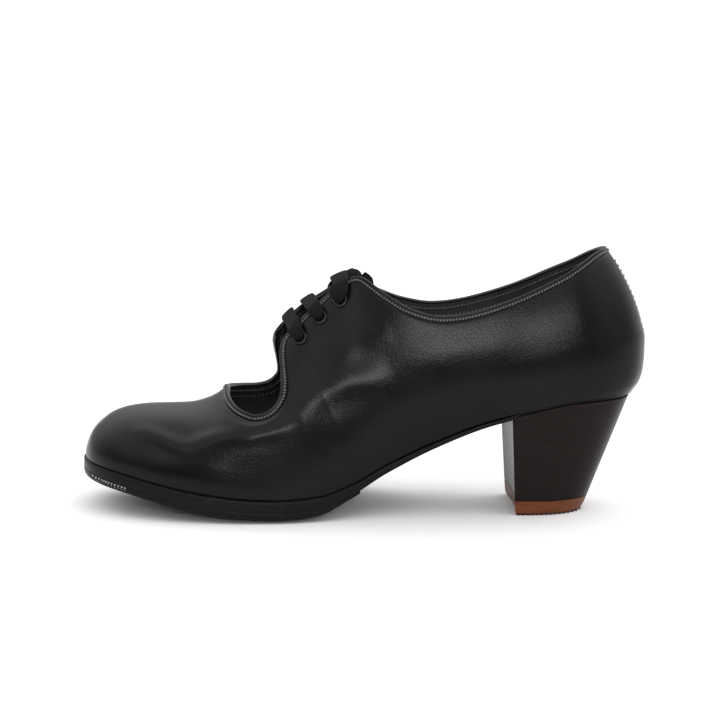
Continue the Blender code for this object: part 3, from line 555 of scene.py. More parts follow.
def layered_solid(name, look, point, rings, counts, poles):
    """A closed solid from outlines that lie above each other, each spanned by rows of points.

    point(ring, row, column) places a point. counts holds the rows and columns of a cap, and poles
    says whether the first and the last row shrink to a single point.
    """
    rows, columns = counts
    index = {}
    points = []

    def vertex(ring, row, column):
        if (row == 0 and poles[0]) or (row == rows and poles[1]):
            column = 0
        key = (ring, row, column)
        if key not in index:
            index[key] = len(points)
            points.append(point(ring, row, column))
        return index[key]

    def add_face(*corners):
        ring = [corner for spot, corner in enumerate(corners) if corner != corners[spot - 1]]
        if len(ring) > 2:
            faces.append(ring)

    faces = []
    for ring in (0, rings - 1):
        for row in range(rows):
            for column in range(columns):
                add_face(vertex(ring, row, column), vertex(ring, row + 1, column),
                         vertex(ring, row + 1, column + 1), vertex(ring, row, column + 1))
    border = [(row, 0) for row in range(rows + 1)]
    border += [(rows, column) for column in range(1, columns)]
    border += [(row, columns) for row in range(rows, -1, -1)]
    border += [(0, column) for column in range(columns - 1, 0, -1)]
    for ring in range(rings - 1):
        for spot, here in enumerate(border):
            back = border[spot - 1]
            add_face(vertex(ring, *back), vertex(ring, *here),
                     vertex(ring + 1, *here), vertex(ring + 1, *back))
    return add_object(name, points, faces, look)


def sole_stations():
    """The rows of every layer of the sole, so that the layers stay parallel."""
    stations = []
    places = (0.0, HALF_SOLE_END, BREAST_PLACE, 1.0)
    for start, end, rows in zip(places, places[1:], (FOREFOOT_ROWS, SHANK_ROWS, HEEL_ROWS)):
        low, high = station_of(start), station_of(end)
        stations += [low + (high - low) * row / rows for row in range(rows)]
    return stations + [1.0]


def sole_solid(name, look, rings, whole, floor=False):
    """A layer of the sole, whole or to the half sole's end. Each ring is an offset and a height."""
    stations = sole_stations()
    rows = len(stations) - 1 if whole else FOREFOOT_ROWS

    def point(ring, row, column):
        station = stations[row]
        offset, height = rings[ring]
        near = foot_edge(station, NEAR, offset(station))
        far = foot_edge(station, FAR, offset(station))
        across = 2.0 * column / SOLE_ACROSS - 1.0
        spot = near.lerp(far, column / SOLE_ACROSS)
        spot.z = height(station) - crown(station, across)
        if floor:
            spot.z = max(spot.z, 0.0)
        return spot

    return layered_solid(name, look, point, len(rings), (rows, SOLE_ACROSS), (True, whole))


def heel_seat(station, side):
    spot = foot_edge(station, side, -HEEL_TOP_INSET)
    spot.z = outsole_bottom(station) - GAP
    return spot


def heel_base(station, side):
    share = max((place_of(station) - BREAST_PLACE) / (1.0 - BREAST_PLACE), 0.0)
    half = HEEL_BASE_WIDTH / 2.0 * max(0.0, 1.0 - share ** HEEL_BASE_FULLNESS) ** HEEL_BASE_ROUNDNESS
    return Vector((along(HEEL_BASE_START) + share * HEEL_BASE_LENGTH, side * half, 0.0))


def heel_middle(height):
    return Vector((along(HEEL_BASE_START) + HEEL_BASE_LENGTH / 2.0, 0.0, height))


def eyelet_frame(row, side):
    """An eyelet's centre on the upper, its axis, and the way from it to the throat."""
    place, height, rise, ahead = row
    if side == FAR:
        place -= ahead
        height += rise
    station, turn = side_point(place, height * INSTEP_HEIGHT)
    centre = last_point(station, turn, side)
    normal = surface_normal(station, turn, side)
    ahead = last_point(station, min(turn + 0.1, math.pi / 2), side) - centre
    inward = (ahead - normal * ahead.dot(normal)).normalized()
    return centre, normal, inward


def facing_edge(place, side):
    """The point of the throat's edge at a place on one side, and the way out of the upper there."""
    facing = [row for row in OPENING_EDGE if FACING_START < row[0] < FACING_END]
    sign = 1.0 if side == FAR else 0.0
    spots = [(row[0] - sign * row[3], row[1] + sign * row[2]) for row in facing]
    low = max([spot for spot in spots[:-1] if spot[0] <= place], default=spots[0])
    high = spots[spots.index(low) + 1]
    height = low[1] + (high[1] - low[1]) * (place - low[0]) / (high[0] - low[0])
    station, turn = side_point(place, height * INSTEP_HEIGHT)
    return last_point(station, turn, side), surface_normal(station, turn, side)


# The camera's view of the photo
CAMERA_TURN = 2.7
CAMERA_RISE = 9.9
CAMERA_ROLL = 1.1
CAMERA_DISTANCE = 1.0
CAMERA_LENS = 112.75
CAMERA_SENSOR = 36.0
CAMERA_TARGET = (-0.00235, 0.0, 0.0652)

# The roll of the binding. out: share of its width from the edge. rise: share of how far it stands up.
ROLL_PROFILE = (
    (0.00, 0.90),
    (0.08, 1.10),
    (0.16, 1.00),
    (0.24, 0.62),
    (0.32, 0.20),
    (0.42, 0.05),
    (0.54, 0.15),
    (0.64, 0.10),
    (0.74, -0.85),
    (0.86, -0.45),
    (1.05, 0.00),
)
RIM_ANGLES = (65.0, 38.0, 12.0, -14.0, -40.0, -66.0)
RIM_ROW = 3
LINING_FIRST_ROWS = (0, 3, 6)
LINING_ROW_STEP = 2

# Folds and dents of the worn leather. The points are places and heights, as shares of the length
# and of the instep height. rise: a share of the fold's depth, below 0 for a hollow. above and
# below: how far it reaches to either side of its line, as shares of the fold's width.
FOLD_DEPTH = 0.0010
FOLD_WIDTH = 0.0034
FOLDS = (
    (NEAR, 1.50, 1.30, 0.80, ((0.085, 0.345), (0.112, 0.337), (0.139, 0.319), (0.165, 0.297),
                              (0.187, 0.277))),
    (NEAR, 2.30, 3.80, 3.60, ((0.150, 0.300), (0.187, 0.298), (0.209, 0.312), (0.261, 0.340),
                              (0.304, 0.360), (0.347, 0.390), (0.385, 0.425), (0.430, 0.470))),
    (NEAR, 0.90, 2.00, 2.20, ((0.170, 0.300), (0.205, 0.300), (0.240, 0.308), (0.275, 0.320),
                              (0.310, 0.340))),
    (NEAR, 1.15, 1.10, 1.00, ((0.170, 0.292), (0.187, 0.286), (0.209, 0.306), (0.261, 0.334),
                              (0.304, 0.350), (0.347, 0.378), (0.385, 0.412))),
    (NEAR, -0.60, 1.60, 1.60, ((0.140, 0.365), (0.187, 0.330), (0.235, 0.365))),
    (NEAR, 1.00, 2.40, 1.50, ((0.375, 0.444), (0.396, 0.483), (0.416, 0.511), (0.444, 0.543),
                              (0.472, 0.563), (0.500, 0.560), (0.524, 0.545), (0.542, 0.526))),
    (NEAR, 0.40, 3.00, 1.30, ((0.405, 0.600), (0.430, 0.635), (0.455, 0.675), (0.485, 0.710),
                              (0.515, 0.740), (0.540, 0.760))),
    (NEAR, 0.55, 3.00, 2.60, ((0.540, 0.600), (0.607, 0.645), (0.685, 0.680), (0.764, 0.720))),
    (FAR, 1.10, 1.10, 1.00, ((0.105, 0.335), (0.140, 0.318), (0.172, 0.298), (0.205, 0.284))),
    (FAR, 1.20, 3.20, 1.40, ((0.195, 0.286), (0.240, 0.305), (0.285, 0.328), (0.335, 0.362),
                             (0.380, 0.400))),
    (FAR, 0.65, 2.40, 1.10, ((0.390, 0.460), (0.430, 0.510), (0.470, 0.545), (0.520, 0.548),
                             (0.560, 0.530))),
    (FAR, 0.50, 2.60, 1.00, ((0.410, 0.610), (0.450, 0.665), (0.500, 0.720), (0.540, 0.750))),
    (FAR, 0.50, 2.60, 2.40, ((0.600, 0.640), (0.660, 0.660), (0.720, 0.680), (0.770, 0.700))),
)
FOLD_STEPS = 6
FOLD_END = 0.6
FOLD_LEFT = 0.01
FOLD_EASE = 0.9
FOLD_SHEER = 3.0
FOOT_FADE = 0.40
RELIEF_ROUNDS = 5
SOFTENING_ROUNDS = 24
SOFTENING_PULLS = (0.50, -0.52)
SOFTENING_RAMP = 5

# Stitches. The fine ones on the lining are shares of the binding's.
STITCH_PITCH = 0.00140
STITCH_SIZE = (0.00116, 0.00135, 0.00080)
FINE_SHARES = (0.9, 0.8, 0.7)
LINING_PITCH = 1.3
STITCH_LINE = 0.0017
LINING_LINE = 0.0072
BACK_STITCH_PITCH = 0.0026
BACK_STITCH_SIZE = (0.0026, 0.0010, 0.00056)
BACK_SEAM_ROWS = (14, 2)
BEAD_RINGS = 5
BEAD_SIDES = 6

# Eyelet rings, and the cutter of their holes as a share of the wall
CUTTER_DEPTH = 6.0
RIM_STEPS = 12
RIM_ROUND = 0.8
RIM_LOW = 0.2

# The lace. The knot's wraps: turn in degrees, size and width, as shares of the knot and the lace.
TOP_BAR_SPREAD = 1.22
BORE_WIDTH = 0.40
BINDING_CLEAR = 1.15
INSIDE_DEPTH = 1.2
TAPE_ROUND = (0.75, 0.8)
TAPE_END = 0.35
RIPPLE = 0.012
RIPPLE_LENGTH = 0.0017
THREAD_PITCH = 0.00085
RIB_PITCH = 0.00095
KNOT_MOVE = (-0.0013, 0.0, -0.0014)
KNOT_WRAPS = ((12.0, 1.10, 1.00), (-58.0, 1.14, 0.90), (74.0, 1.06, 0.80))
KNOT_STEPS = 40
KNOT_SWEEP = 0.10
KNOT_THICKNESS = 0.85
END_THICKNESS = 1.25
END_STEPS = 6
END_BREADTH = (0.55, 0.0, 0.45)

# The outsole's edge from the top. groove: share of the groove's depth. inset: share of the edge
# bevel. upper and lower: shares of the layer above and below the groove's bottom.
OUTSOLE_EDGE = (
    (1.00, 0.00, -0.18, 0.00),
    (0.85, 0.00, 0.06, 0.00),
    (0.50, 0.00, 0.26, 0.00),
    (0.20, 0.00, 0.42, 0.00),
    (0.05, 0.00, 0.66, 0.00),
    (0.00, 0.00, 1.00, 0.00),
    (0.00, 0.00, 1.00, 0.45),
    (0.00, 0.00, 1.00, 0.88),
    (0.00, 0.08, 1.00, 0.96),
    (0.00, 0.30, 1.00, 1.00),
)

# The half sole's edge from the top: inset as a share of the edge bevel, and share of its thickness.
HALF_SOLE_EDGE = (
    (0.35, 0.00),
    (0.08, 0.05),
    (0.00, 0.16),
    (0.00, 0.62),
    (0.30, 0.84),
    (0.90, 0.96),
    (1.60, 1.00),
)
HALF_SOLE_CLEAR = 0.25

# The sock's edge from the top: inset as a share of the edge bevel, and share of its height.
SOCK_EDGE = ((2.4, 1.00), (0.8, 0.94), (0.0, 0.74), (0.0, 0.00))

# The rounding of the heel's and the lift's edges
HEEL_SOFTNESS = 0.0008
LIFT_SOFTNESS = 0.0003
SOFT_ANGLE = 38.0

# The lift's worn lower edge. height: share of its height. inset: share of the sole's edge bevel.
LIFT_WEAR = (
    (1.00, 0.0),
    (0.66, 0.0),
    (0.42, 0.1),
    (0.26, 0.4),
    (0.13, 1.0),
    (0.04, 1.9),
    (0.00, 2.8),
)

# Nails on the toe's lower edge and round the lift. NAIL_ROWS: how far a row lies inside the
# sole's edge and above the half sole's underside, as shares of the edge bevel, and how far its
# nails lean outward. NAIL_HEAD: shares of the radius and of the dome. NAIL_SCATTER: how uneven
# the spacing is, and the two steps that make it so.
NAIL_RADIUS = 0.00044
NAIL_DOME = 0.00032
NAIL_SINK = 0.0004
NAIL_SIDES = 12
NAILS_START = 0.0200
NAILS_END = 0.082
NAILS_IN_ROW = 12
NAIL_ROWS = ((0.0, 4.8, 6.0), (0.6, 2.6, 2.2), (2.4, 0.6, 0.6))
NAIL_HEAD = ((1.0, 0.0), (0.85, 0.6), (0.5, 0.93))
NAIL_DOWN = (-0.15, 0.0, -1.0)
NAIL_SCATTER = (0.3, 7.0, 2.3)
LIFT_NAILS = 15
LIFT_NAILS_START = 0.04

# The room's light by direction: axis, from and to on it, and the light's strength there.
ROOM_LIGHT = (
    ("Z", 0.15, 0.85, 0.0, 1.50),
    ("Y", -0.15, 0.65, 0.03, 0.51),
    ("X", -0.30, -0.80, 0.0, 0.36),
    ("X", 0.25, 0.75, 0.0, 0.66),
)

# Soft boxes: name, place, aim, width and height, and power in watts.
SOFT_BOXES = (
    ("front_box", (0.09, -1.52, 0.51), (0.0, 0.0, 0.07), (0.36, 0.22), 5.2),
    ("upper_box", (-0.25, -1.25, 1.05), (0.0, 0.0, 0.05), (1.20, 0.70), 2.0),
)
FLOOR_REACH = 30.0
FLOOR_DARK = (-0.68, -0.32)


def node(tree, kind, values=None, **settings):
    """A node with its settings, and with inputs that are set or linked to another node."""
    made = tree.nodes.new(kind)
    for name, value in settings.items():
        setattr(made, name, value)
    for name, value in (values or {}).items():
        socket = made.inputs[name]
        if isinstance(value, bpy.types.NodeSocket):
            tree.links.new(value, socket)
        else:
            socket.default_value = (*value, 1.0) if socket.type == "RGBA" else value
    return made


def new_look(name, colour, roughness, gloss=0.5, extra=None):
    made = bpy.data.materials.new(name)
    made.use_nodes = True
    made.diffuse_color = (*colour, 1.0)
    shader = made.node_tree.nodes["Principled BSDF"]
    shader.inputs["Base Color"].default_value = (*colour, 1.0)
    values = {"Roughness": roughness, "Specular IOR Level": gloss, **(extra or {})}
    for socket, value in values.items():
        shader.inputs[socket].default_value = value
    return made, made.node_tree, shader


def spot_in(tree, scale=(1.0, 1.0, 1.0)):
    """The place on the object, stretched by scale."""
    place = node(tree, "ShaderNodeTexCoord").outputs["Object"]
    return node(tree, "ShaderNodeMapping", {"Vector": place, "Scale": scale}).outputs["Vector"]


def noise_from(tree, vector, scale, detail=4.0, roughness=0.55, distortion=0.0, output="Fac"):
    made = node(tree, "ShaderNodeTexNoise", {"Vector": vector, "Scale": scale, "Detail": detail,
                                             "Roughness": roughness, "Distortion": distortion})
    return made.outputs[output]


def ramp_from(tree, value, *stops):
    """Colours or greys between stops of (position, colour)."""
    made = node(tree, "ShaderNodeValToRGB", {"Fac": value})
    ramp = made.color_ramp
    while len(ramp.elements) < len(stops):
        ramp.elements.new(0.5)
    for element, (position, colour) in zip(ramp.elements, stops):
        element.position = position
        element.color = (*colour, 1.0) if isinstance(colour, tuple) else (colour, colour, colour, 1.0)
    return made.outputs["Color"]


def math_from(tree, operation, *values):
    return node(tree, "ShaderNodeMath", dict(enumerate(values)), operation=operation).outputs[0]


def mix_from(tree, factor, first, second):
    return node(tree, "ShaderNodeMix", {0: factor, 6: first, 7: second}, data_type="RGBA").outputs[2]


def range_from(tree, parts, axis, start, end, low, high):
    """A soft step from low to high between two places on an axis."""
    values = {"Value": parts.outputs[axis], "From Min": start, "From Max": end,
              "To Min": low, "To Max": high}
    made = node(tree, "ShaderNodeMapRange", values, interpolation_type="SMOOTHSTEP")
    return made.outputs["Result"]


def axes_of(tree, output):
    place = node(tree, "ShaderNodeTexCoord").outputs[output]
    return node(tree, "ShaderNodeSeparateXYZ", {"Vector": place})


def finish_look(look, colour, pattern, spread, least, *bumps):
    """Link the colour, a roughness of least plus spread times a pattern, and bumps on each other.

    A bump is a height, its distance in metres and its strength.
    """
    made, tree, shader = look
    tree.links.new(colour, shader.inputs["Base Color"])
    roughness = math_from(tree, "MULTIPLY_ADD", pattern, spread, least)
    tree.links.new(roughness, shader.inputs["Roughness"])
    below = {}
    for height, distance, strength in bumps:
        values = {"Height": height, "Distance": distance, "Strength": strength, **below}
        below = {"Normal": node(tree, "ShaderNodeBump", values).outputs["Normal"]}
    tree.links.new(below["Normal"], shader.inputs["Normal"])
    return made


def leather_look(name, dark, light, rough, grain, pores, gloss):
    """Leather: pebbled grain, fine pores, faint wrinkles, uneven gloss and colour."""
    look = new_look(name, light, sum(rough) / 2.0, gloss)
    tree = look[1]
    place = spot_in(tree)
    warp = noise_from(tree, place, 380.0, 2.0, 0.5, output="Color")
    cells = node(tree, "ShaderNodeTexVoronoi", {"Vector": mix_from(tree, 0.0006, place, warp),
                                                "Scale": grain, "Randomness": 1.0},
                 feature="DISTANCE_TO_EDGE")
    pebbles = ramp_from(tree, cells.outputs["Distance"], (0.0, 0.0), (0.10, 0.75), (0.35, 1.0))
    pore = noise_from(tree, place, pores, 6.0, 0.65)
    wrinkle = noise_from(tree, spot_in(tree, (1.0, 1.0, 2.6)), 95.0, 5.0, 0.6, 0.8)
    patch = noise_from(tree, place, 42.0, 5.0, 0.6)
    colour = ramp_from(tree, patch, (0.30, dark), (0.72, light))
    colour = mix_from(tree, math_from(tree, "MULTIPLY", pore, 0.35), colour, light)
    uneven = math_from(tree, "MULTIPLY_ADD", patch, rough[1] - rough[0], rough[0])
    return finish_look(look, colour, pore, 0.07, uneven, (wrinkle, 0.00012, 0.4),
                       (pebbles, 0.00004, 0.35), (pore, 0.00004, 0.4))


def edge_look():
    """The sole's black edge: waxed and burnished, with fine lines along it and scuffs."""
    look = new_look("waxed_sole_edge", (0.005, 0.005, 0.005), 0.42, 0.12)
    tree = look[1]
    layers = noise_from(tree, spot_in(tree, (0.10, 0.10, 1.0)), 1500.0, 4.0, 0.6)
    scuffs = noise_from(tree, spot_in(tree), 160.0, 6.0, 0.7)
    marks = ramp_from(tree, scuffs, (0.52, 0.0), (0.72, 1.0))
    base = ramp_from(tree, layers, (0.30, (0.0024, 0.0024, 0.0024)), (0.70, (0.0058, 0.0057, 0.0057)))
    tone = mix_from(tree, math_from(tree, "MULTIPLY", marks, 0.25), base, (0.028, 0.026, 0.025))
    return finish_look(look, tone, scuffs, 0.35, 0.22, (layers, 0.00010, 0.35), (scuffs, 0.00012, 0.4))


def wood_look():
    """The heel's dark varnished wood, with reddish lines running across."""
    look = new_look("varnished_wood", (0.022, 0.018, 0.017), 0.30, 0.09,
                    {"Coat Weight": 0.02, "Coat Roughness": 0.20})
    tree = look[1]
    lines = noise_from(tree, spot_in(tree, (0.05, 0.05, 1.0)), 1100.0, 5.0, 0.65, 0.3)
    broad = noise_from(tree, spot_in(tree, (0.12, 0.12, 1.0)), 160.0, 4.0, 0.5)
    wear = noise_from(tree, spot_in(tree), 260.0, 6.0, 0.7)
    base = ramp_from(tree, lines, (0.30, (0.0050, 0.0040, 0.0038)), (0.58, (0.0082, 0.0060, 0.0055)),
                     (0.82, (0.0300, 0.0140, 0.0110)))
    tone = mix_from(tree, math_from(tree, "MULTIPLY", broad, 0.5), base, (0.013, 0.0062, 0.0050))
    return finish_look(look, tone, wear, 0.30, 0.20, (lines, 0.00008, 0.4), (wear, 0.00004, 0.35))


def lift_look():
    """The red-brown top piece: pressed layers, darker toward the floor, scuffed."""
    look = new_look("lift_layers", (0.135, 0.046, 0.024), 0.5, 0.25)
    tree = look[1]
    rise = math_from(tree, "DIVIDE", axes_of(tree, "Object").outputs["Z"], LIFT_HEIGHT)
    grain = noise_from(tree, spot_in(tree, (0.16, 0.16, 1.0)), 900.0, 5.0, 0.65)
    patches = noise_from(tree, spot_in(tree), 210.0, 6.0, 0.7)
    streaks = ramp_from(tree, grain, (0.40, 0.0), (0.66, 1.0))
    wavy = math_from(tree, "MULTIPLY_ADD", patches, 0.16, rise)
    tone = ramp_from(tree, wavy, (0.05, (0.018, 0.007, 0.004)), (0.15, (0.070, 0.018, 0.007)),
                     (0.28, (0.185, 0.048, 0.0100)), (0.98, (0.135, 0.034, 0.0075)))
    tone = mix_from(tree, math_from(tree, "MULTIPLY", streaks, 0.75), tone, (0.052, 0.014, 0.0045))
    return finish_look(look, tone, patches, 0.35, 0.30, (grain, 0.00010, 0.5), (patches, 0.00012, 0.4))


def lace_look():
    """Matt black braid: rows of slanting threads that meet in the middle of the tape, with painted shade
    in the grooves between them.
    """
    look = new_look("lace_braid", (0.012, 0.012, 0.012), 0.85, 0.08)
    tree = look[1]
    marks = node(tree, "ShaderNodeUVMap", uv_map="braid").outputs["UV"]
    parts = node(tree, "ShaderNodeSeparateXYZ", {"Vector": marks})
    across = math_from(tree, "ABSOLUTE", parts.outputs["Y"])
    slant = math_from(tree, "MULTIPLY_ADD", across, 0.9, parts.outputs["X"])
    full = 2.0 * math.pi
    threads = math_from(tree, "SINE", math_from(tree, "MULTIPLY", slant, full / THREAD_PITCH))
    ribs = math_from(tree, "COSINE",
                     math_from(tree, "MULTIPLY", parts.outputs["Y"], full / RIB_PITCH))
    weave = math_from(tree, "MULTIPLY_ADD", ribs, 0.18, 0.5)
    weave = math_from(tree, "MULTIPLY_ADD", threads, 0.32, weave)
    fuzz = noise_from(tree, spot_in(tree), 2400.0, 5.0, 0.7)
    patches = noise_from(tree, spot_in(tree), 120.0, 4.0, 0.6)
    # The colour follows the weave's height: the darker grooves between the threads are painted shade, the
    # lighter crests are painted highlight.
    tone = ramp_from(tree, weave, (0.15, (0.0015, 0.0015, 0.0015)), (0.60, (0.0070, 0.0070, 0.0068)),
                     (0.95, (0.0170, 0.0170, 0.0165)))
    tone = mix_from(tree, math_from(tree, "MULTIPLY", fuzz, 0.35), tone, (0.012, 0.0118, 0.0115))
    return finish_look(look, tone, patches, 0.2, 0.70, (weave, 0.00022, 0.9), (fuzz, 0.00010, 0.5))


def metal_look(name, colour, rough, metallic, scale):
    """Painted or bare metal with fine scratches and worn spots."""
    look = new_look(name, colour, rough, 0.30, {"Metallic": metallic})
    tree = look[1]
    spots = noise_from(tree, spot_in(tree), scale, 6.0, 0.7)
    worn = tuple(min(1.0, value * 2.2 + 0.01) for value in colour)
    tone = ramp_from(tree, spots, (0.42, colour), (0.74, worn))
    return finish_look(look, tone, spots, 0.28, rough - 0.10, (spots, 0.00003, 0.4))


def thread_look(name, dark, light, gloss):
    """Waxed black thread, a little lighter than the leather. Where it is given light greys, as for the
    binding's beads, that colour is a painted highlight.
    """
    look = new_look(name, dark, 0.30, gloss)
    tree = look[1]
    twist = noise_from(tree, spot_in(tree), 3000.0, 4.0, 0.6)
    tone = ramp_from(tree, twist, (0.35, dark), (0.70, light))
    return finish_look(look, tone, twist, 0.25, 0.28, (twist, 0.00006, 0.6))


def floor_look():
    """White paper that is dark far in front of the shoe, outside the picture."""
    made, tree, shader = new_look("studio_floor", (0.86, 0.86, 0.86), 0.75)
    front = range_from(tree, axes_of(tree, "Object"), "Y", *FLOOR_DARK, 0.0, 1.0)
    tone = noise_from(tree, spot_in(tree), 3.0, 2.0, 0.5)
    paper = ramp_from(tree, tone, (0.2, (0.855, 0.855, 0.855)), (0.8, (0.865, 0.865, 0.865)))
    shade = mix_from(tree, front, (0.12, 0.12, 0.12), paper)
    tree.links.new(shade, shader.inputs["Base Color"])
    return made


def link_new(name, data):
    thing = bpy.data.objects.new(name, data)
    bpy.context.scene.collection.objects.link(thing)
    return thing


def add_object(name, points, faces, looks, smooth_angle=40.0, face_looks=None):
    mesh = bpy.data.meshes.new(name)
    mesh.from_pydata([tuple(point) for point in points], [], faces)
    for look in looks if isinstance(looks, tuple) else (looks,):
        mesh.materials.append(look)
    if face_looks is not None:
        mesh.polygons.foreach_set("material_index", face_looks)
    shape = bmesh.new()
    shape.from_mesh(mesh)
    bmesh.ops.recalc_face_normals(shape, faces=shape.faces[:])
    shape.to_mesh(mesh)
    shape.free()
    mesh.shade_smooth()
    mesh.set_sharp_from_angle(angle=math.radians(smooth_angle))
    return link_new(name, mesh)


def ring_faces(start, rings, sides, closed=False):
    """Quads between rings of points. closed also joins the last ring to the first."""
    faces = []
    for ring in range(rings if closed else rings - 1):
        here, there = start + ring * sides, start + (ring + 1) % rings * sides
        for step in range(sides):
            after = (step + 1) % sides
            faces.append((here + step, here + after, there + after, there + step))
    return faces


def stand_for(piece, slot, *nodes):
    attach(piece, "root")
    if nodes:
        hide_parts(*nodes)
    return piece


def around(grid):
    """The sum of the four neighbours of each point. The first and the last row stand in for theirs."""
    above = np.concatenate((grid[:1], grid[:-1]))
    below = np.concatenate((grid[1:], grid[-1:]))
    return above + below + np.roll(grid, 1, axis=1) + np.roll(grid, -1, axis=1)


def soften(grid, strength, rounds):
    """Even out the kinks between the sections. grid: rows, columns, 3."""
    for _ in range(rounds):
        for pull in SOFTENING_PULLS:
            grid = grid + strength[:, None, None] * pull * (around(grid) / 4.0 - grid)
    return grid


def grid_normals(grid):
    above = np.concatenate((grid[:1], grid[:-1]))
    below = np.concatenate((grid[1:], grid[-1:]))
    across = np.roll(grid, -1, axis=1) - np.roll(grid, 1, axis=1)
    normals = np.cross(below - above, across)
    return normals / np.maximum(np.linalg.norm(normals, axis=2, keepdims=True), 1e-12)


def fold_line(side, points):
    rows = [smooth_row(points, step / FOLD_STEPS) for step in range((len(points) - 1) * FOLD_STEPS + 1)]
    spots = []
    normals = []
    for place, height in rows:
        station, turn = side_point(place, height * INSTEP_HEIGHT)
        spots.append(np.array(last_point(station, turn, side)))
        normals.append(np.array(surface_normal(station, turn, side)))
    return spots, normals


def fold_relief(grid):
    """How far each point of the leather stands out or in because of the folds."""
    relief = np.zeros(grid.shape[:2])
    for side, rise, above, below, points in FOLDS:
        spots, normals = fold_line(side, points)
        best = np.full(grid.shape[:2], 1e9)
        off = np.zeros(grid.shape[:2])
        past = np.zeros(grid.shape[:2])
        ease = np.zeros(grid.shape[:2])
        for index, (start, end) in enumerate(zip(spots, spots[1:])):
            run = end - start
            length = np.linalg.norm(run)
            run = run / length
            up = np.cross(normals[index], run)
            up = up * math.copysign(1.0, up[2])
            offset = grid - start
            ahead = offset @ run
            held = np.clip(ahead, 0.0, length)
            gap = np.linalg.norm(offset - held[..., None] * run, axis=2)
            beyond = np.minimum(ahead, 0.0) if index == 0 else 0.0
            beyond = np.maximum(ahead - length, beyond) if index == len(spots) - 2 else beyond
            aside = np.sqrt(np.maximum(gap ** 2 - beyond ** 2, 0.0))
            nearer = gap < best
            best = np.where(nearer, gap, best)
            off = np.where(nearer, np.copysign(aside, offset @ up), off)
            past = np.where(nearer, np.abs(beyond), past)
            ease = np.where(nearer, (index + held / length) / (len(spots) - 1), ease)
        width = FOLD_WIDTH * np.where(off > 0.0, above, below)
        wide = FOLD_WIDTH * max(above, below)
        ends = np.sin(np.pi * (FOLD_LEFT + (1.0 - 2.0 * FOLD_LEFT) * ease)) ** FOLD_EASE
        ends = ends * np.exp(-(past / (FOLD_END * wide)) ** 2) * (grid[..., 1] * side > 0.0)
        sheer = np.exp(-(np.maximum(best - FOLD_SHEER * wide, 0.0) / wide) ** 2)
        relief += FOLD_DEPTH * rise * np.exp(-(off / width) ** 2) * ends * sheer
    for _ in range(RELIEF_ROUNDS):
        relief = (2.0 * relief + around(relief)) / 6.0
    return relief


def outer_leather():
    """The upper's outer face without its binding, as rows from the edge down to the feather line."""
    loop = edge_loop()
    edge = [last_point(station, turn, side) for station, turn, side, _ in loop]
    rows = [edge]
    for out, _ in ROLL_PROFILE[1:]:
        starts = [binding_line(loop, edge, index, out * BINDING_WIDTH) for index in range(len(loop))]
        rows.append([last_point(s, t, loop[i][2]) for i, (s, t) in enumerate(starts)])
    for step in range(1, WALL_ROWS + 1):
        down = step / WALL_ROWS
        row = []
        for index, (_, _, side, foot) in enumerate(loop):
            station, turn = starts[index]
            row.append(wall_point(station, turn, side, foot, down))
        rows.append(row)
    return np.array([[tuple(point) for point in row] for row in rows])


def ramp_rows(count, first):
    """0 at the edge's rows and at the feather line, 1 between them."""
    rows = np.arange(count)
    rise = np.clip((rows - first) / SOFTENING_RAMP, 0.0, 1.0)
    return rise * np.clip((count - 1 - rows) / SOFTENING_RAMP, 0.0, 1.0)


def unit(vectors):
    return vectors / np.linalg.norm(vectors, axis=1, keepdims=True)


def build_upper_leather(leather, binding, lining):
    """The upper as bands of points: over the rim, down the outer face and up the lining."""
    grid = outer_leather()
    roll = len(ROLL_PROFILE)
    strength = ramp_rows(len(grid), roll - RIM_ROW)
    grid = soften(grid, strength, SOFTENING_ROUNDS)
    normals = grid_normals(grid)
    foot = np.clip(np.arange(len(grid) - 1, -1, -1) / (FOOT_FADE * len(grid)), 0.0, 1.0)
    relief = fold_relief(grid) * (strength * soft_step(foot))[:, None]
    grid = grid + normals * relief[..., None]
    normals = grid_normals(grid)
    raised = np.zeros(len(grid))
    raised[:roll] = [rise * BINDING_RAISE for _, rise in ROLL_PROFILE]
    outer = grid + normals * raised[:, None, None]
    inner = grid - normals * UPPER_WALL
    inner[-1] = grid[-1] - unit(normals[-1] * np.array((1.0, 1.0, 0.0))) * UPPER_WALL
    outward = unit(grid[0] - grid[RIM_ROW])
    middle = grid[0] - normals[0] * (UPPER_WALL - BINDING_RAISE) / 2.0
    rim = []
    for angle in RIM_ANGLES:
        turn = math.radians(angle)
        rim.append(middle + outward * BINDING_RAISE * math.cos(turn)
                   + normals[0] * (UPPER_WALL + BINDING_RAISE) / 2.0 * math.sin(turn))
    kept = [*LINING_FIRST_ROWS, *range(roll, len(inner), LINING_ROW_STEP)]
    if kept[-1] != len(inner) - 1:
        kept.append(len(inner) - 1)
    bands = rim[::-1] + list(outer) + [inner[row] for row in kept[::-1]]
    wrapped = len(rim) + roll - RIM_ROW
    looks = []
    for band in range(len(bands)):
        look = 0 if band < len(rim) + len(outer) - 1 else 2
        if band < wrapped or band >= len(bands) - 2:
            look = 1
        looks += [look] * grid.shape[1]
    faces = ring_faces(0, len(bands), grid.shape[1], closed=True)
    piece = add_object("fine_upper", np.concatenate(bands), faces, (leather, binding, lining), 50.0, looks)
    cut_eyelet_holes(piece)
    stand_for(piece, "upper", "upper")
    return grid, normals


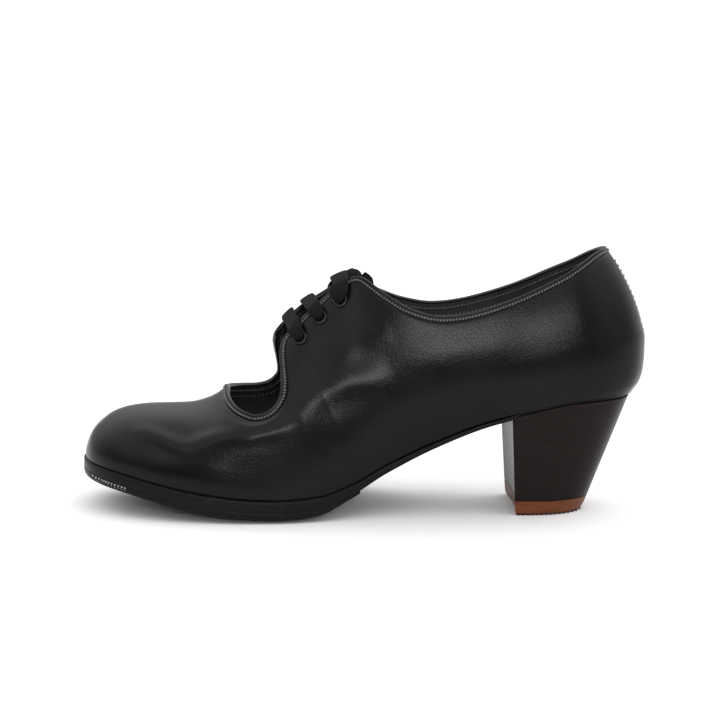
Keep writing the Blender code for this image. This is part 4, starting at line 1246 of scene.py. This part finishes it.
def cut_eyelet_holes(upper):
    """One cutter with a closed cylinder through the wall at each eyelet."""
    depth = CUTTER_DEPTH * UPPER_WALL
    radius = EYELET_BARREL_RADIUS + GAP
    shape = bmesh.new()
    for side in (NEAR, FAR):
        for row in EYELETS:
            centre, normal, inward = eyelet_frame(row, side)
            axes = Matrix((inward, normal.cross(inward), normal)).transposed().to_4x4()
            middle = centre - normal * UPPER_WALL / 2.0
            bmesh.ops.create_cone(shape, cap_ends=True, segments=ROUND_SIDES, radius1=radius,
                                  radius2=radius, depth=depth, matrix=Matrix.Translation(middle) @ axes)
    mesh = bpy.data.meshes.new("hole_cutter")
    shape.to_mesh(mesh)
    shape.free()
    cutter = link_new("hole_cutter", mesh)
    cut = upper.modifiers.new("holes", "BOOLEAN")
    cut.operation = "DIFFERENCE"
    cut.solver = "EXACT"
    cut.object = cutter
    settle(upper)
    bpy.data.objects.remove(cutter, do_unlink=True)


def settle(piece):
    """Turn the modifiers of a piece into its mesh."""
    graph = bpy.context.evaluated_depsgraph_get()
    mesh = bpy.data.meshes.new_from_object(piece.evaluated_get(graph))
    piece.modifiers.clear()
    piece.data = mesh


def round_cap(start, sides):
    return tuple(range(start, start + sides))


def bead_mesh(points, faces, centre, run, normal, sizes):
    """A half-sunken bead: length along run, width beside it and rise along normal."""
    length, width, rise = sizes
    side = normal.cross(run).normalized()
    start = len(points)
    for ring in range(BEAD_RINGS):
        angle = math.pi * (ring + 0.5) / BEAD_RINGS
        reach = -math.cos(angle) * length / 2.0
        fat = math.sin(angle)
        for step in range(BEAD_SIDES):
            turn = 2.0 * math.pi * step / BEAD_SIDES
            points.append(centre + run * reach + side * math.cos(turn) * fat * width / 2.0
                          + normal * math.sin(turn) * fat * rise)
    faces += ring_faces(start, BEAD_RINGS, BEAD_SIDES)
    faces.append(round_cap(start, BEAD_SIDES)[::-1])
    faces.append(round_cap(start + (BEAD_RINGS - 1) * BEAD_SIDES, BEAD_SIDES))


def run_of_beads(name, look, line, pitch, sizes, slant=0.0):
    """Beads at an even pitch along a line of (point, normal) pairs."""
    points = []
    faces = []
    left = pitch / 2.0
    for (start, normal), (end, _) in zip(line, line[1:]):
        step = end - start
        length = step.length
        if length < 1e-9:
            continue
        run = step / length
        while left <= length:
            turned = Quaternion(normal, slant) @ run if slant else run
            bead_mesh(points, faces, start + run * left, turned, normal, sizes)
            left += pitch
        left -= length
    return stand_for(add_object(name, points, faces, look, 80.0), "upper")


def line_beside_edge(grid, normals, distance):
    """Points at a distance from the opening's edge all round, measured down each column."""
    line = []
    for column in [*range(grid.shape[1]), 0]:
        walked = 0.0
        for row in range(len(grid) - 1):
            step = float(np.linalg.norm(grid[row + 1, column] - grid[row, column]))
            if walked + step >= distance:
                share = (distance - walked) / step
                spot = grid[row, column] * (1.0 - share) + grid[row + 1, column] * share
                line.append((Vector(spot), Vector(normals[row, column]).normalized()))
                break
            walked += step
    return line


def build_stitches(grid, normals, look, dark):
    """The stitches beside the binding, outside and inside, and those of the back seam."""
    fine = [size * share for size, share in zip(STITCH_SIZE, FINE_SHARES)]
    inside = grid - normals * UPPER_WALL
    for name, face, ways, distance, pitch, sizes in (
            ("binding_stitches", grid, normals, STITCH_LINE, 1.0, STITCH_SIZE),
            ("lining_stitches", inside, -normals, LINING_LINE, LINING_PITCH, fine),
            ("lining_edge_stitches", inside, -normals, BINDING_WIDTH, 1.0, fine)):
        run_of_beads(name, look, line_beside_edge(face, ways, distance), STITCH_PITCH * pitch, sizes)
    back = grid.shape[1] // 2
    rows = range(BACK_SEAM_ROWS[0], len(grid) - BACK_SEAM_ROWS[1])
    seam = [(Vector(grid[row, back]), Vector(normals[row, back])) for row in rows]
    run_of_beads("back_seam_stitches", dark, seam, BACK_STITCH_PITCH, BACK_STITCH_SIZE, math.pi / 2.0)


def build_sole(look):
    """The outsole with its groove, and the half sole, both with worn, rounded edges."""
    rings = []
    for groove, inset, upper, lower in OUTSOLE_EDGE:
        def offset(station, groove=groove, inset=inset):
            depth = GROOVE_DEPTH * fade(place_of(station), GROOVE_END_START, BREAST_PLACE)
            return sole_offset(station) - depth * groove - EDGE_BEVEL * inset

        def height(station, upper=upper, lower=lower):
            first = GROOVE_HEIGHT * layer_of(station)
            rest = outsole_layer(station) - first
            return outsole_top(station) - first * upper - rest * lower

        rings.append((offset, height))
    stand_for(sole_solid("fine_outsole", look, rings, True), "sole", "outsole")

    rings = []
    for inset, down in HALF_SOLE_EDGE:
        def edge(_, inset=inset):
            return SOLE_MARGIN - EDGE_BEVEL * inset

        def height(station, down=down):
            rest = GAP * (1.0 - HALF_SOLE_CLEAR)
            top = outsole_bottom(station) - GAP * HALF_SOLE_CLEAR
            return top - (half_sole_thickness(station) + rest) * down

        rings.append((edge, height))
    stand_for(sole_solid("fine_half_sole", look, rings, False, floor=True), "sole", "half_sole")


def build_sock(look):
    """The insole with its padded leather sock, a little domed."""
    def inside(shrink):
        def offset(station):
            ease = INSOLE_TOE_CLEARANCE * fade(place_of(station), 0.0, TOE_EASE_END)
            return -UPPER_WALL - INSOLE_CLEARANCE - ease - EDGE_BEVEL * shrink
        return offset

    def level(share):
        def height(station):
            low = foot_height(station) - FEATHER_GAP + GAP
            return low + (foot_height(station) + INSOLE_THICKNESS - low) * share
        return height

    rings = [(inside(shrink), level(share)) for shrink, share in SOCK_EDGE]
    stand_for(sole_solid("fine_insole", look, rings, True), "insole", "insole")


def heel_solid(name, look, levels, bevel):
    """The heel or its lift, from levels of (function of the seat's height, inset in metres)."""
    def point(ring, row, column):
        share, inset = levels[ring]
        spot = heel_point(row, column, share)
        if inset:
            spot += (heel_middle(spot.z) - spot).normalized() * inset
        return spot

    piece = layered_solid(name, look, point, len(levels), (HEEL_ROWS, HEEL_ACROSS), (False, True))
    soft = piece.modifiers.new("soft_edges", "BEVEL")
    soft.width = bevel
    soft.segments = 3
    soft.limit_method = "ANGLE"
    soft.angle_limit = math.radians(SOFT_ANGLE)
    settle(piece)
    return piece


def build_heel_and_lift(wood, lift):
    levels = []
    for step in range(HEEL_LEVELS, -1, -1):
        share = step / HEEL_LEVELS
        levels.append((lambda seat, share=share: share + (1.0 - share) * LIFT_HEIGHT / seat, 0.0))
    stand_for(heel_solid("fine_heel", wood, levels, HEEL_SOFTNESS), "heel", "heel")
    levels = []
    for height, inset in LIFT_WEAR:
        level = height * (LIFT_HEIGHT - GAP)
        levels.append((lambda seat, level=level: level / seat, inset * EDGE_BEVEL))
    stand_for(heel_solid("fine_heel_lift", lift, levels, LIFT_SOFTNESS), "lift", "heel_lift")


def heel_point(row, column, height_share):
    """A point of the heel between its base on the floor and its seat under the upper."""
    start = station_of(BREAST_PLACE)
    station = start + (1.0 - start) * row / HEEL_ROWS
    ends = []
    for side in (NEAR, FAR):
        seat = heel_seat(station, side)
        base = heel_base(station, side)
        ends.append(base.lerp(seat, height_share(seat.z)))
    spot = ends[0].lerp(ends[1], column / HEEL_ACROSS)
    if row == 0:
        across = 2.0 * column / HEEL_ACROSS - 1.0
        spot.x += HEEL_BREAST_HOLLOW * (1.0 - across * across)
    return spot


def nail_mesh(points, faces, centre, axis):
    """A domed nail head on an axis, sunk a little into what it holds."""
    side = axis.orthogonal().normalized()
    other = axis.cross(side)
    start = len(points)
    rings = [(1.0, -NAIL_SINK)] + [(radius, NAIL_DOME * height) for radius, height in NAIL_HEAD]
    for radius, height in rings:
        for step in range(NAIL_SIDES):
            turn = 2.0 * math.pi * step / NAIL_SIDES
            out = side * math.cos(turn) + other * math.sin(turn)
            points.append(centre + out * radius * NAIL_RADIUS + axis * height)
    points.append(centre + axis * NAIL_DOME)
    faces += ring_faces(start, len(rings), NAIL_SIDES)
    top = start + (len(rings) - 1) * NAIL_SIDES
    for step in range(NAIL_SIDES):
        faces.append((top + step, top + (step + 1) % NAIL_SIDES, len(points) - 1))
    faces.append(round_cap(start, NAIL_SIDES)[::-1])


def build_nails(look, dark):
    """Rows of nail heads on the toe's lower edge, and a ring of them in the lift's lower edge."""
    points = []
    faces = []
    for side in (NEAR, FAR):
        for row, (inset, height, lean_out) in enumerate(NAIL_ROWS):
            for index in range(NAILS_IN_ROW):
                scatter = NAIL_SCATTER[0] * math.sin(NAIL_SCATTER[1] * index + NAIL_SCATTER[2] * row)
                share = (index + 0.5 * row + scatter) / NAILS_IN_ROW
                station = station_of(NAILS_START + (NAILS_END - NAILS_START) * max(share, 0.0))
                reach = SOLE_MARGIN - EDGE_BEVEL * inset
                spot = foot_edge(station, side, reach)
                outward = spot - foot_edge(station, side, reach - NAIL_RADIUS)
                outward.z = 0.0
                axis = outward.normalized() * lean_out + Vector(NAIL_DOWN)
                spot.z = outsole_bottom(station) - GAP - half_sole_thickness(station)
                spot.z += EDGE_BEVEL * height
                nail_mesh(points, faces, spot, axis.normalized())
    stand_for(add_object("toe_nails", points, faces, look, 50.0), "sole")
    points = []
    faces = []
    for index in range(LIFT_NAILS):
        share = LIFT_NAILS_START + (1.0 - 2.0 * LIFT_NAILS_START) * index / (LIFT_NAILS - 1)
        for side in (NEAR, FAR):
            base = heel_base(station_of(BREAST_PLACE + (1.0 - BREAST_PLACE) * share), side)
            away = (base - heel_middle(0.0)).normalized()
            spot = base - away * NAIL_DOME * 0.5
            spot.z = NAIL_RADIUS
            nail_mesh(points, faces, spot, away)
    stand_for(add_object("lift_nails", points, faces, dark, 50.0), "lift")


def build_eyelet_rings(look):
    """Each ring is a profile of (radius, height above the leather), turned round its axis."""
    sink = UPPER_WALL + 2.0 * GAP
    profile = [(EYELET_BORE_RADIUS, -sink), (EYELET_BORE_RADIUS, GAP - EYELET_RIM * RIM_LOW)]
    middle = (EYELET_BORE_RADIUS + EYELET_RADIUS) / 2.0
    half = (EYELET_RADIUS - EYELET_BORE_RADIUS) / 2.0
    for step in range(1, RIM_STEPS):
        turn = math.pi * (1.0 - step / RIM_STEPS)
        rise = EYELET_RIM * math.sin(turn) ** RIM_ROUND
        profile.append((middle + half * math.cos(turn), GAP + rise))
    profile += [(EYELET_RADIUS, GAP), (EYELET_BARREL_RADIUS, GAP), (EYELET_BARREL_RADIUS, -sink)]
    for side, word in SIDE_NAMES.items():
        for number, row in enumerate(EYELETS, 1):
            centre, normal, inward = eyelet_frame(row, side)
            sideways = normal.cross(inward)
            points = []
            for step in range(ROUND_SIDES):
                angle = 2.0 * math.pi * step / ROUND_SIDES
                out = inward * math.cos(angle) + sideways * math.sin(angle)
                points += [centre + out * radius + normal * height for radius, height in profile]
            faces = ring_faces(0, ROUND_SIDES, len(profile), closed=True)
            ring = add_object(f"ring_{word}_{number}", points, faces, look, 45.0)
            stand_for(ring, "eyelet", f"eyelet_{word}_{number}")


def squared(value, power):
    return math.copysign(abs(value) ** power, value)


def tape_side(side, width, thickness):
    """A point of a flat braid's rounded section, as its place across and its height."""
    angle = 2.0 * math.pi * side / LACE_SIDES
    return (squared(math.cos(angle), TAPE_ROUND[0]) * width / 2.0,
            squared(math.sin(angle), TAPE_ROUND[1]) * thickness / 2.0)


def tape(name, look, rows):
    """A flat braid along rows of (spot, breadth, width, thickness), with its own braid map."""
    points = []
    travelled = [0.0]
    for (before, *_), (after, *_) in zip(rows, rows[1:]):
        travelled.append(travelled[-1] + (after - before).length)
    for index, (spot, breadth, width, thickness) in enumerate(rows):
        run = (rows[min(index + 1, len(rows) - 1)][0] - rows[max(index - 1, 0)][0]).normalized()
        across = (breadth - run * breadth.dot(run)).normalized()
        thin = run.cross(across)
        ripple = 1.0 + RIPPLE * math.sin(travelled[index] * 2.0 * math.pi / RIPPLE_LENGTH)
        for side in range(LACE_SIDES):
            wide, deep = tape_side(side, width, thickness)
            points.append(spot + across * wide * ripple + thin * deep)
    faces = ring_faces(0, len(rows), LACE_SIDES)
    for start, inner in ((0, 1), (len(rows) - 1, len(rows) - 2)):
        spot = rows[start][0]
        points.append(spot + (spot - rows[inner][0]).normalized() * rows[start][3] * TAPE_END)
        for side in range(LACE_SIDES):
            after = (side + 1) % LACE_SIDES
            faces.append((start * LACE_SIDES + side, start * LACE_SIDES + after, len(points) - 1))
    piece = add_object(name, points, faces, look, 60.0)
    marks = piece.data.uv_layers.new(name="braid")
    for corner, loop in enumerate(piece.data.loops):
        index = min(loop.vertex_index // LACE_SIDES, len(rows) - 1)
        wide, _ = tape_side(loop.vertex_index % LACE_SIDES, *rows[index][2:])
        marks.data[corner].uv = (travelled[index], wide)
    return piece


def fine_rows(rows, steps):
    flat = [list(spot) + list(across) + [wide, thick] for spot, across, wide, thick in rows]
    fine = [smooth_row(flat, step / steps) for step in range(steps * (len(flat) - 1) + 1)]
    return [(Vector(row[:3]), Vector(row[3:6]), row[6], row[7]) for row in fine]


def bar_half(eyelet, crossing, side):
    """One half of a lace bar, from inside the shoe through its eyelet to the edge of the throat."""
    centre, normal, _ = eyelet_frame(eyelet, side)
    edge, edge_normal = facing_edge(crossing, side)
    run = edge - centre
    toward = (run - normal * run.dot(normal)).normalized()
    breadth = normal.cross(toward) * side
    step = LACE_WIDTH / SHOE_LENGTH / 2.0
    edge_run = facing_edge(crossing + step, side)[0] - facing_edge(crossing - step, side)[0]
    edge_breadth = (edge_run * math.copysign(1.0, edge_run.dot(breadth))).normalized()
    clear = EYELET_RIM + 2.0 * GAP
    over_edge = BINDING_RAISE * BINDING_CLEAR + GAP + LACE_THICKNESS * LACE_OVER_EDGE
    deep = UPPER_WALL + LACE_THICKNESS * INSIDE_DEPTH
    bore = BORE_WIDTH * LACE_WIDTH
    rows = [
        (centre - normal * deep - toward * EYELET_BORE_RADIUS, breadth, 1.05 * bore, LACE_THICKNESS),
        (centre - normal * deep * 0.6, breadth, bore, 1.35 * LACE_THICKNESS),
        (centre, breadth, bore, 1.45 * LACE_THICKNESS),
    ]
    for rise, reach, wide, thick in LACE_EXIT:
        spot = centre + normal * (clear + rise * LACE_THICKNESS) + toward * reach * EYELET_RADIUS
        rows.append((spot, breadth, wide * LACE_WIDTH, thick * LACE_THICKNESS))
    rows.append((edge + edge_normal * over_edge, edge_breadth, LACE_WIDTH, LACE_THICKNESS))
    return rows


def build_laces(look):
    for number, (eyelet, (near_place, far_place, arch)) in enumerate(zip(EYELETS, LACE_BARS), 1):
        near = bar_half(eyelet, near_place, NEAR)
        far = bar_half(eyelet, far_place, FAR)
        middle = (near[-1][0] + far[-1][0]) / 2.0
        breadth = (near[-1][1] + far[-1][1]).normalized()
        up = breadth.cross(Vector((0.0, 1.0, 0.0))).normalized()
        up *= math.copysign(1.0, up.z)
        rows = near + [(middle + up * arch * LACE_WIDTH, breadth, LACE_WIDTH, LACE_THICKNESS)] + far[::-1]
        if number == len(EYELETS):
            rows = [(spot, across, wide * TOP_BAR_SPREAD if wide > 0.9 * LACE_WIDTH else wide, thick)
                    for spot, across, wide, thick in rows]
        bar = tape(f"braid_bar_{number}", look, fine_rows(rows, LACE_STEPS))
        stand_for(bar, "lace", f"lace_bar_{number}")


def lace_spot(row):
    """A point of the tied lace from its shares of length, ball width and instep height."""
    return Vector((along(row[0]), row[1] * BALL_WIDTH, row[2] * INSTEP_HEIGHT))


def build_knot(look):
    """The knot: three wraps of the lace, leaning different ways, joined in one piece."""
    turn = Matrix.Rotation(math.radians(-KNOT_TILT), 3, "Y")
    centre = lace_spot(KNOT_CENTRE) + Vector(KNOT_MOVE)
    long, wide, high = KNOT_RADII
    thick = KNOT_THICKNESS * LACE_THICKNESS
    wraps = []
    for lean_angle, share, width in KNOT_WRAPS:
        rows = []
        tilt = Matrix.Rotation(math.radians(lean_angle), 3, "Z")
        for step in range(KNOT_STEPS + 1):
            angle = 2.0 * math.pi * step / KNOT_STEPS
            flat = tilt @ Vector((0.0, math.cos(angle), 0.0)) + Vector((0.0, 0.0, math.sin(angle)))
            spot = Vector((flat.x * long, flat.y * wide, flat.z * high)) * share
            spot += tilt @ Vector((KNOT_SWEEP * math.sin(angle / 2.0) * long, 0.0, 0.0))
            across = tilt @ Vector((1.0, 0.0, 0.0))
            rows.append((centre + turn @ spot, turn @ across, width * LACE_WIDTH, thick))
        wraps.append(tape(f"knot_wrap_{len(wraps) + 1}", look, rows))
    shape = bmesh.new()
    for wrap in wraps:
        shape.from_mesh(wrap.data)
    mesh = bpy.data.meshes.new("knot")
    shape.to_mesh(mesh)
    shape.free()
    mesh.materials.append(look)
    knot = link_new("knot", mesh)
    for wrap in wraps:
        bpy.data.objects.remove(wrap, do_unlink=True)
    return stand_for(knot, "lace", "lace_knot")


def build_lace_end(name, look, route, node_name):
    """A tucked lace end along its route."""
    steps = range(END_STEPS * (len(route) - 1) + 1)
    spots = [lace_spot(smooth_row(route, step / END_STEPS)) for step in steps]
    thick = END_THICKNESS * LACE_THICKNESS
    rows = [(spot, Vector(END_BREADTH), LACE_END_DIAMETER, thick) for spot in spots]
    end = tape(name, look, rows)
    stand_for(end, "lace", node_name)
    length = sum((b - a).length for a, b in zip(spots, spots[1:]))
    tuple(spots[0])
    [tuple(spot) for spot in spots]


def build_camera():
    turn, rise = math.radians(CAMERA_TURN), math.radians(CAMERA_RISE)
    back = Vector((-math.sin(turn) * math.cos(rise), -math.cos(turn) * math.cos(rise), math.sin(rise)))
    lens = bpy.data.cameras.new("camera")
    lens.lens = CAMERA_LENS
    lens.sensor_width = CAMERA_SENSOR
    lens.dof.use_dof = False
    camera = link_new("camera", lens)
    camera.location = Vector(CAMERA_TARGET) + back * CAMERA_DISTANCE
    camera.rotation_mode = "QUATERNION"
    aim = (-back).to_track_quat("-Z", "Y")
    camera.rotation_quaternion = aim @ Quaternion((0.0, 0.0, 1.0), math.radians(CAMERA_ROLL))
    bpy.context.scene.camera = camera


def soft_light(name, spot, aim, size, power):
    lamp = bpy.data.lights.new(name, "AREA")
    lamp.shape = "RECTANGLE"
    lamp.size, lamp.size_y = size
    lamp.energy = power
    light = link_new(name, lamp)
    light.location = spot
    light.rotation_mode = "QUATERNION"
    light.rotation_quaternion = (Vector(aim) - Vector(spot)).to_track_quat("-Z", "Y")


def build_studio():
    """A white room: bright above, behind and at both ends, darker in front, with two soft lights."""
    bpy.context.scene.view_settings.view_transform = "Standard"
    world = bpy.data.worlds.new("studio_room")
    bpy.context.scene.world = world
    world.use_nodes = True
    tree = world.node_tree
    backdrop = tree.nodes["Background"]
    parts = axes_of(tree, "Generated")
    total = 0.0
    for axis, start, end, low, high in ROOM_LIGHT:
        total = math_from(tree, "ADD", range_from(tree, parts, axis, start, end, low, high), total)
    tree.links.new(total, backdrop.inputs["Strength"])
    backdrop.inputs["Color"].default_value = (1.0, 1.0, 1.0, 1.0)
    for box in SOFT_BOXES:
        soft_light(*box)
    floor = bpy.data.meshes.new("floor")
    corners = ((-1, -1), (1, -1), (1, 1), (-1, 1))
    floor.from_pydata([(x * FLOOR_REACH, y * FLOOR_REACH, 0.0) for x, y in corners], [], [(0, 1, 2, 3)])
    floor.materials.append(floor_look())
    link_new("floor", floor)


def build_scene():
    build_camera()
    braid = lace_look()
    knot = build_knot(braid)
    build_lace_end("near_end", braid, LACE_END_NEAR, "lace_end_near")
    build_lace_end("far_end", braid, LACE_END_FAR, "lace_end_far")
    build_laces(braid)
    leather = leather_look("satin_leather", (0.0026, 0.0026, 0.0027), (0.0058, 0.0058, 0.0060),
                           (0.17, 0.23), 620.0, 2600.0, 0.135)
    binding = leather_look("binding_leather", (0.0035, 0.0035, 0.0036), (0.0075, 0.0075, 0.0078),
                           (0.20, 0.32), 900.0, 3000.0, 0.22)
    lining = leather_look("lining_leather", (0.0260, 0.0260, 0.0258), (0.0480, 0.0476, 0.0468),
                          (0.50, 0.70), 520.0, 2000.0, 0.25)
    sock = leather_look("sock_leather", (0.0040, 0.0039, 0.0038), (0.0090, 0.0088, 0.0085),
                        (0.50, 0.68), 560.0, 2200.0, 0.25)
    grid, normals = build_upper_leather(leather, binding, lining)
    # The binding's thread is light grey though the real thread is black: a painted highlight on the beads.
    # The back seam's thread keeps its black.
    build_stitches(grid, normals,
                   thread_look("bead_thread_painted_highlight", (0.030, 0.030, 0.030), (0.110, 0.110, 0.112), 0.7),
                   thread_look("black_thread", (0.008, 0.008, 0.008), (0.022, 0.022, 0.022), 0.3))
    build_sole(edge_look())
    build_sock(sock)
    build_heel_and_lift(wood_look(), lift_look())
    build_nails(metal_look("steel_nails", (0.26, 0.25, 0.24), 0.32, 0.85, 900.0),
                metal_look("dark_nails", (0.030, 0.026, 0.024), 0.45, 0.8, 900.0))
    build_eyelet_rings(metal_look("black_enamel", (0.002, 0.002, 0.002), 0.16, 0.0, 700.0))
    build_studio()


build_scene()
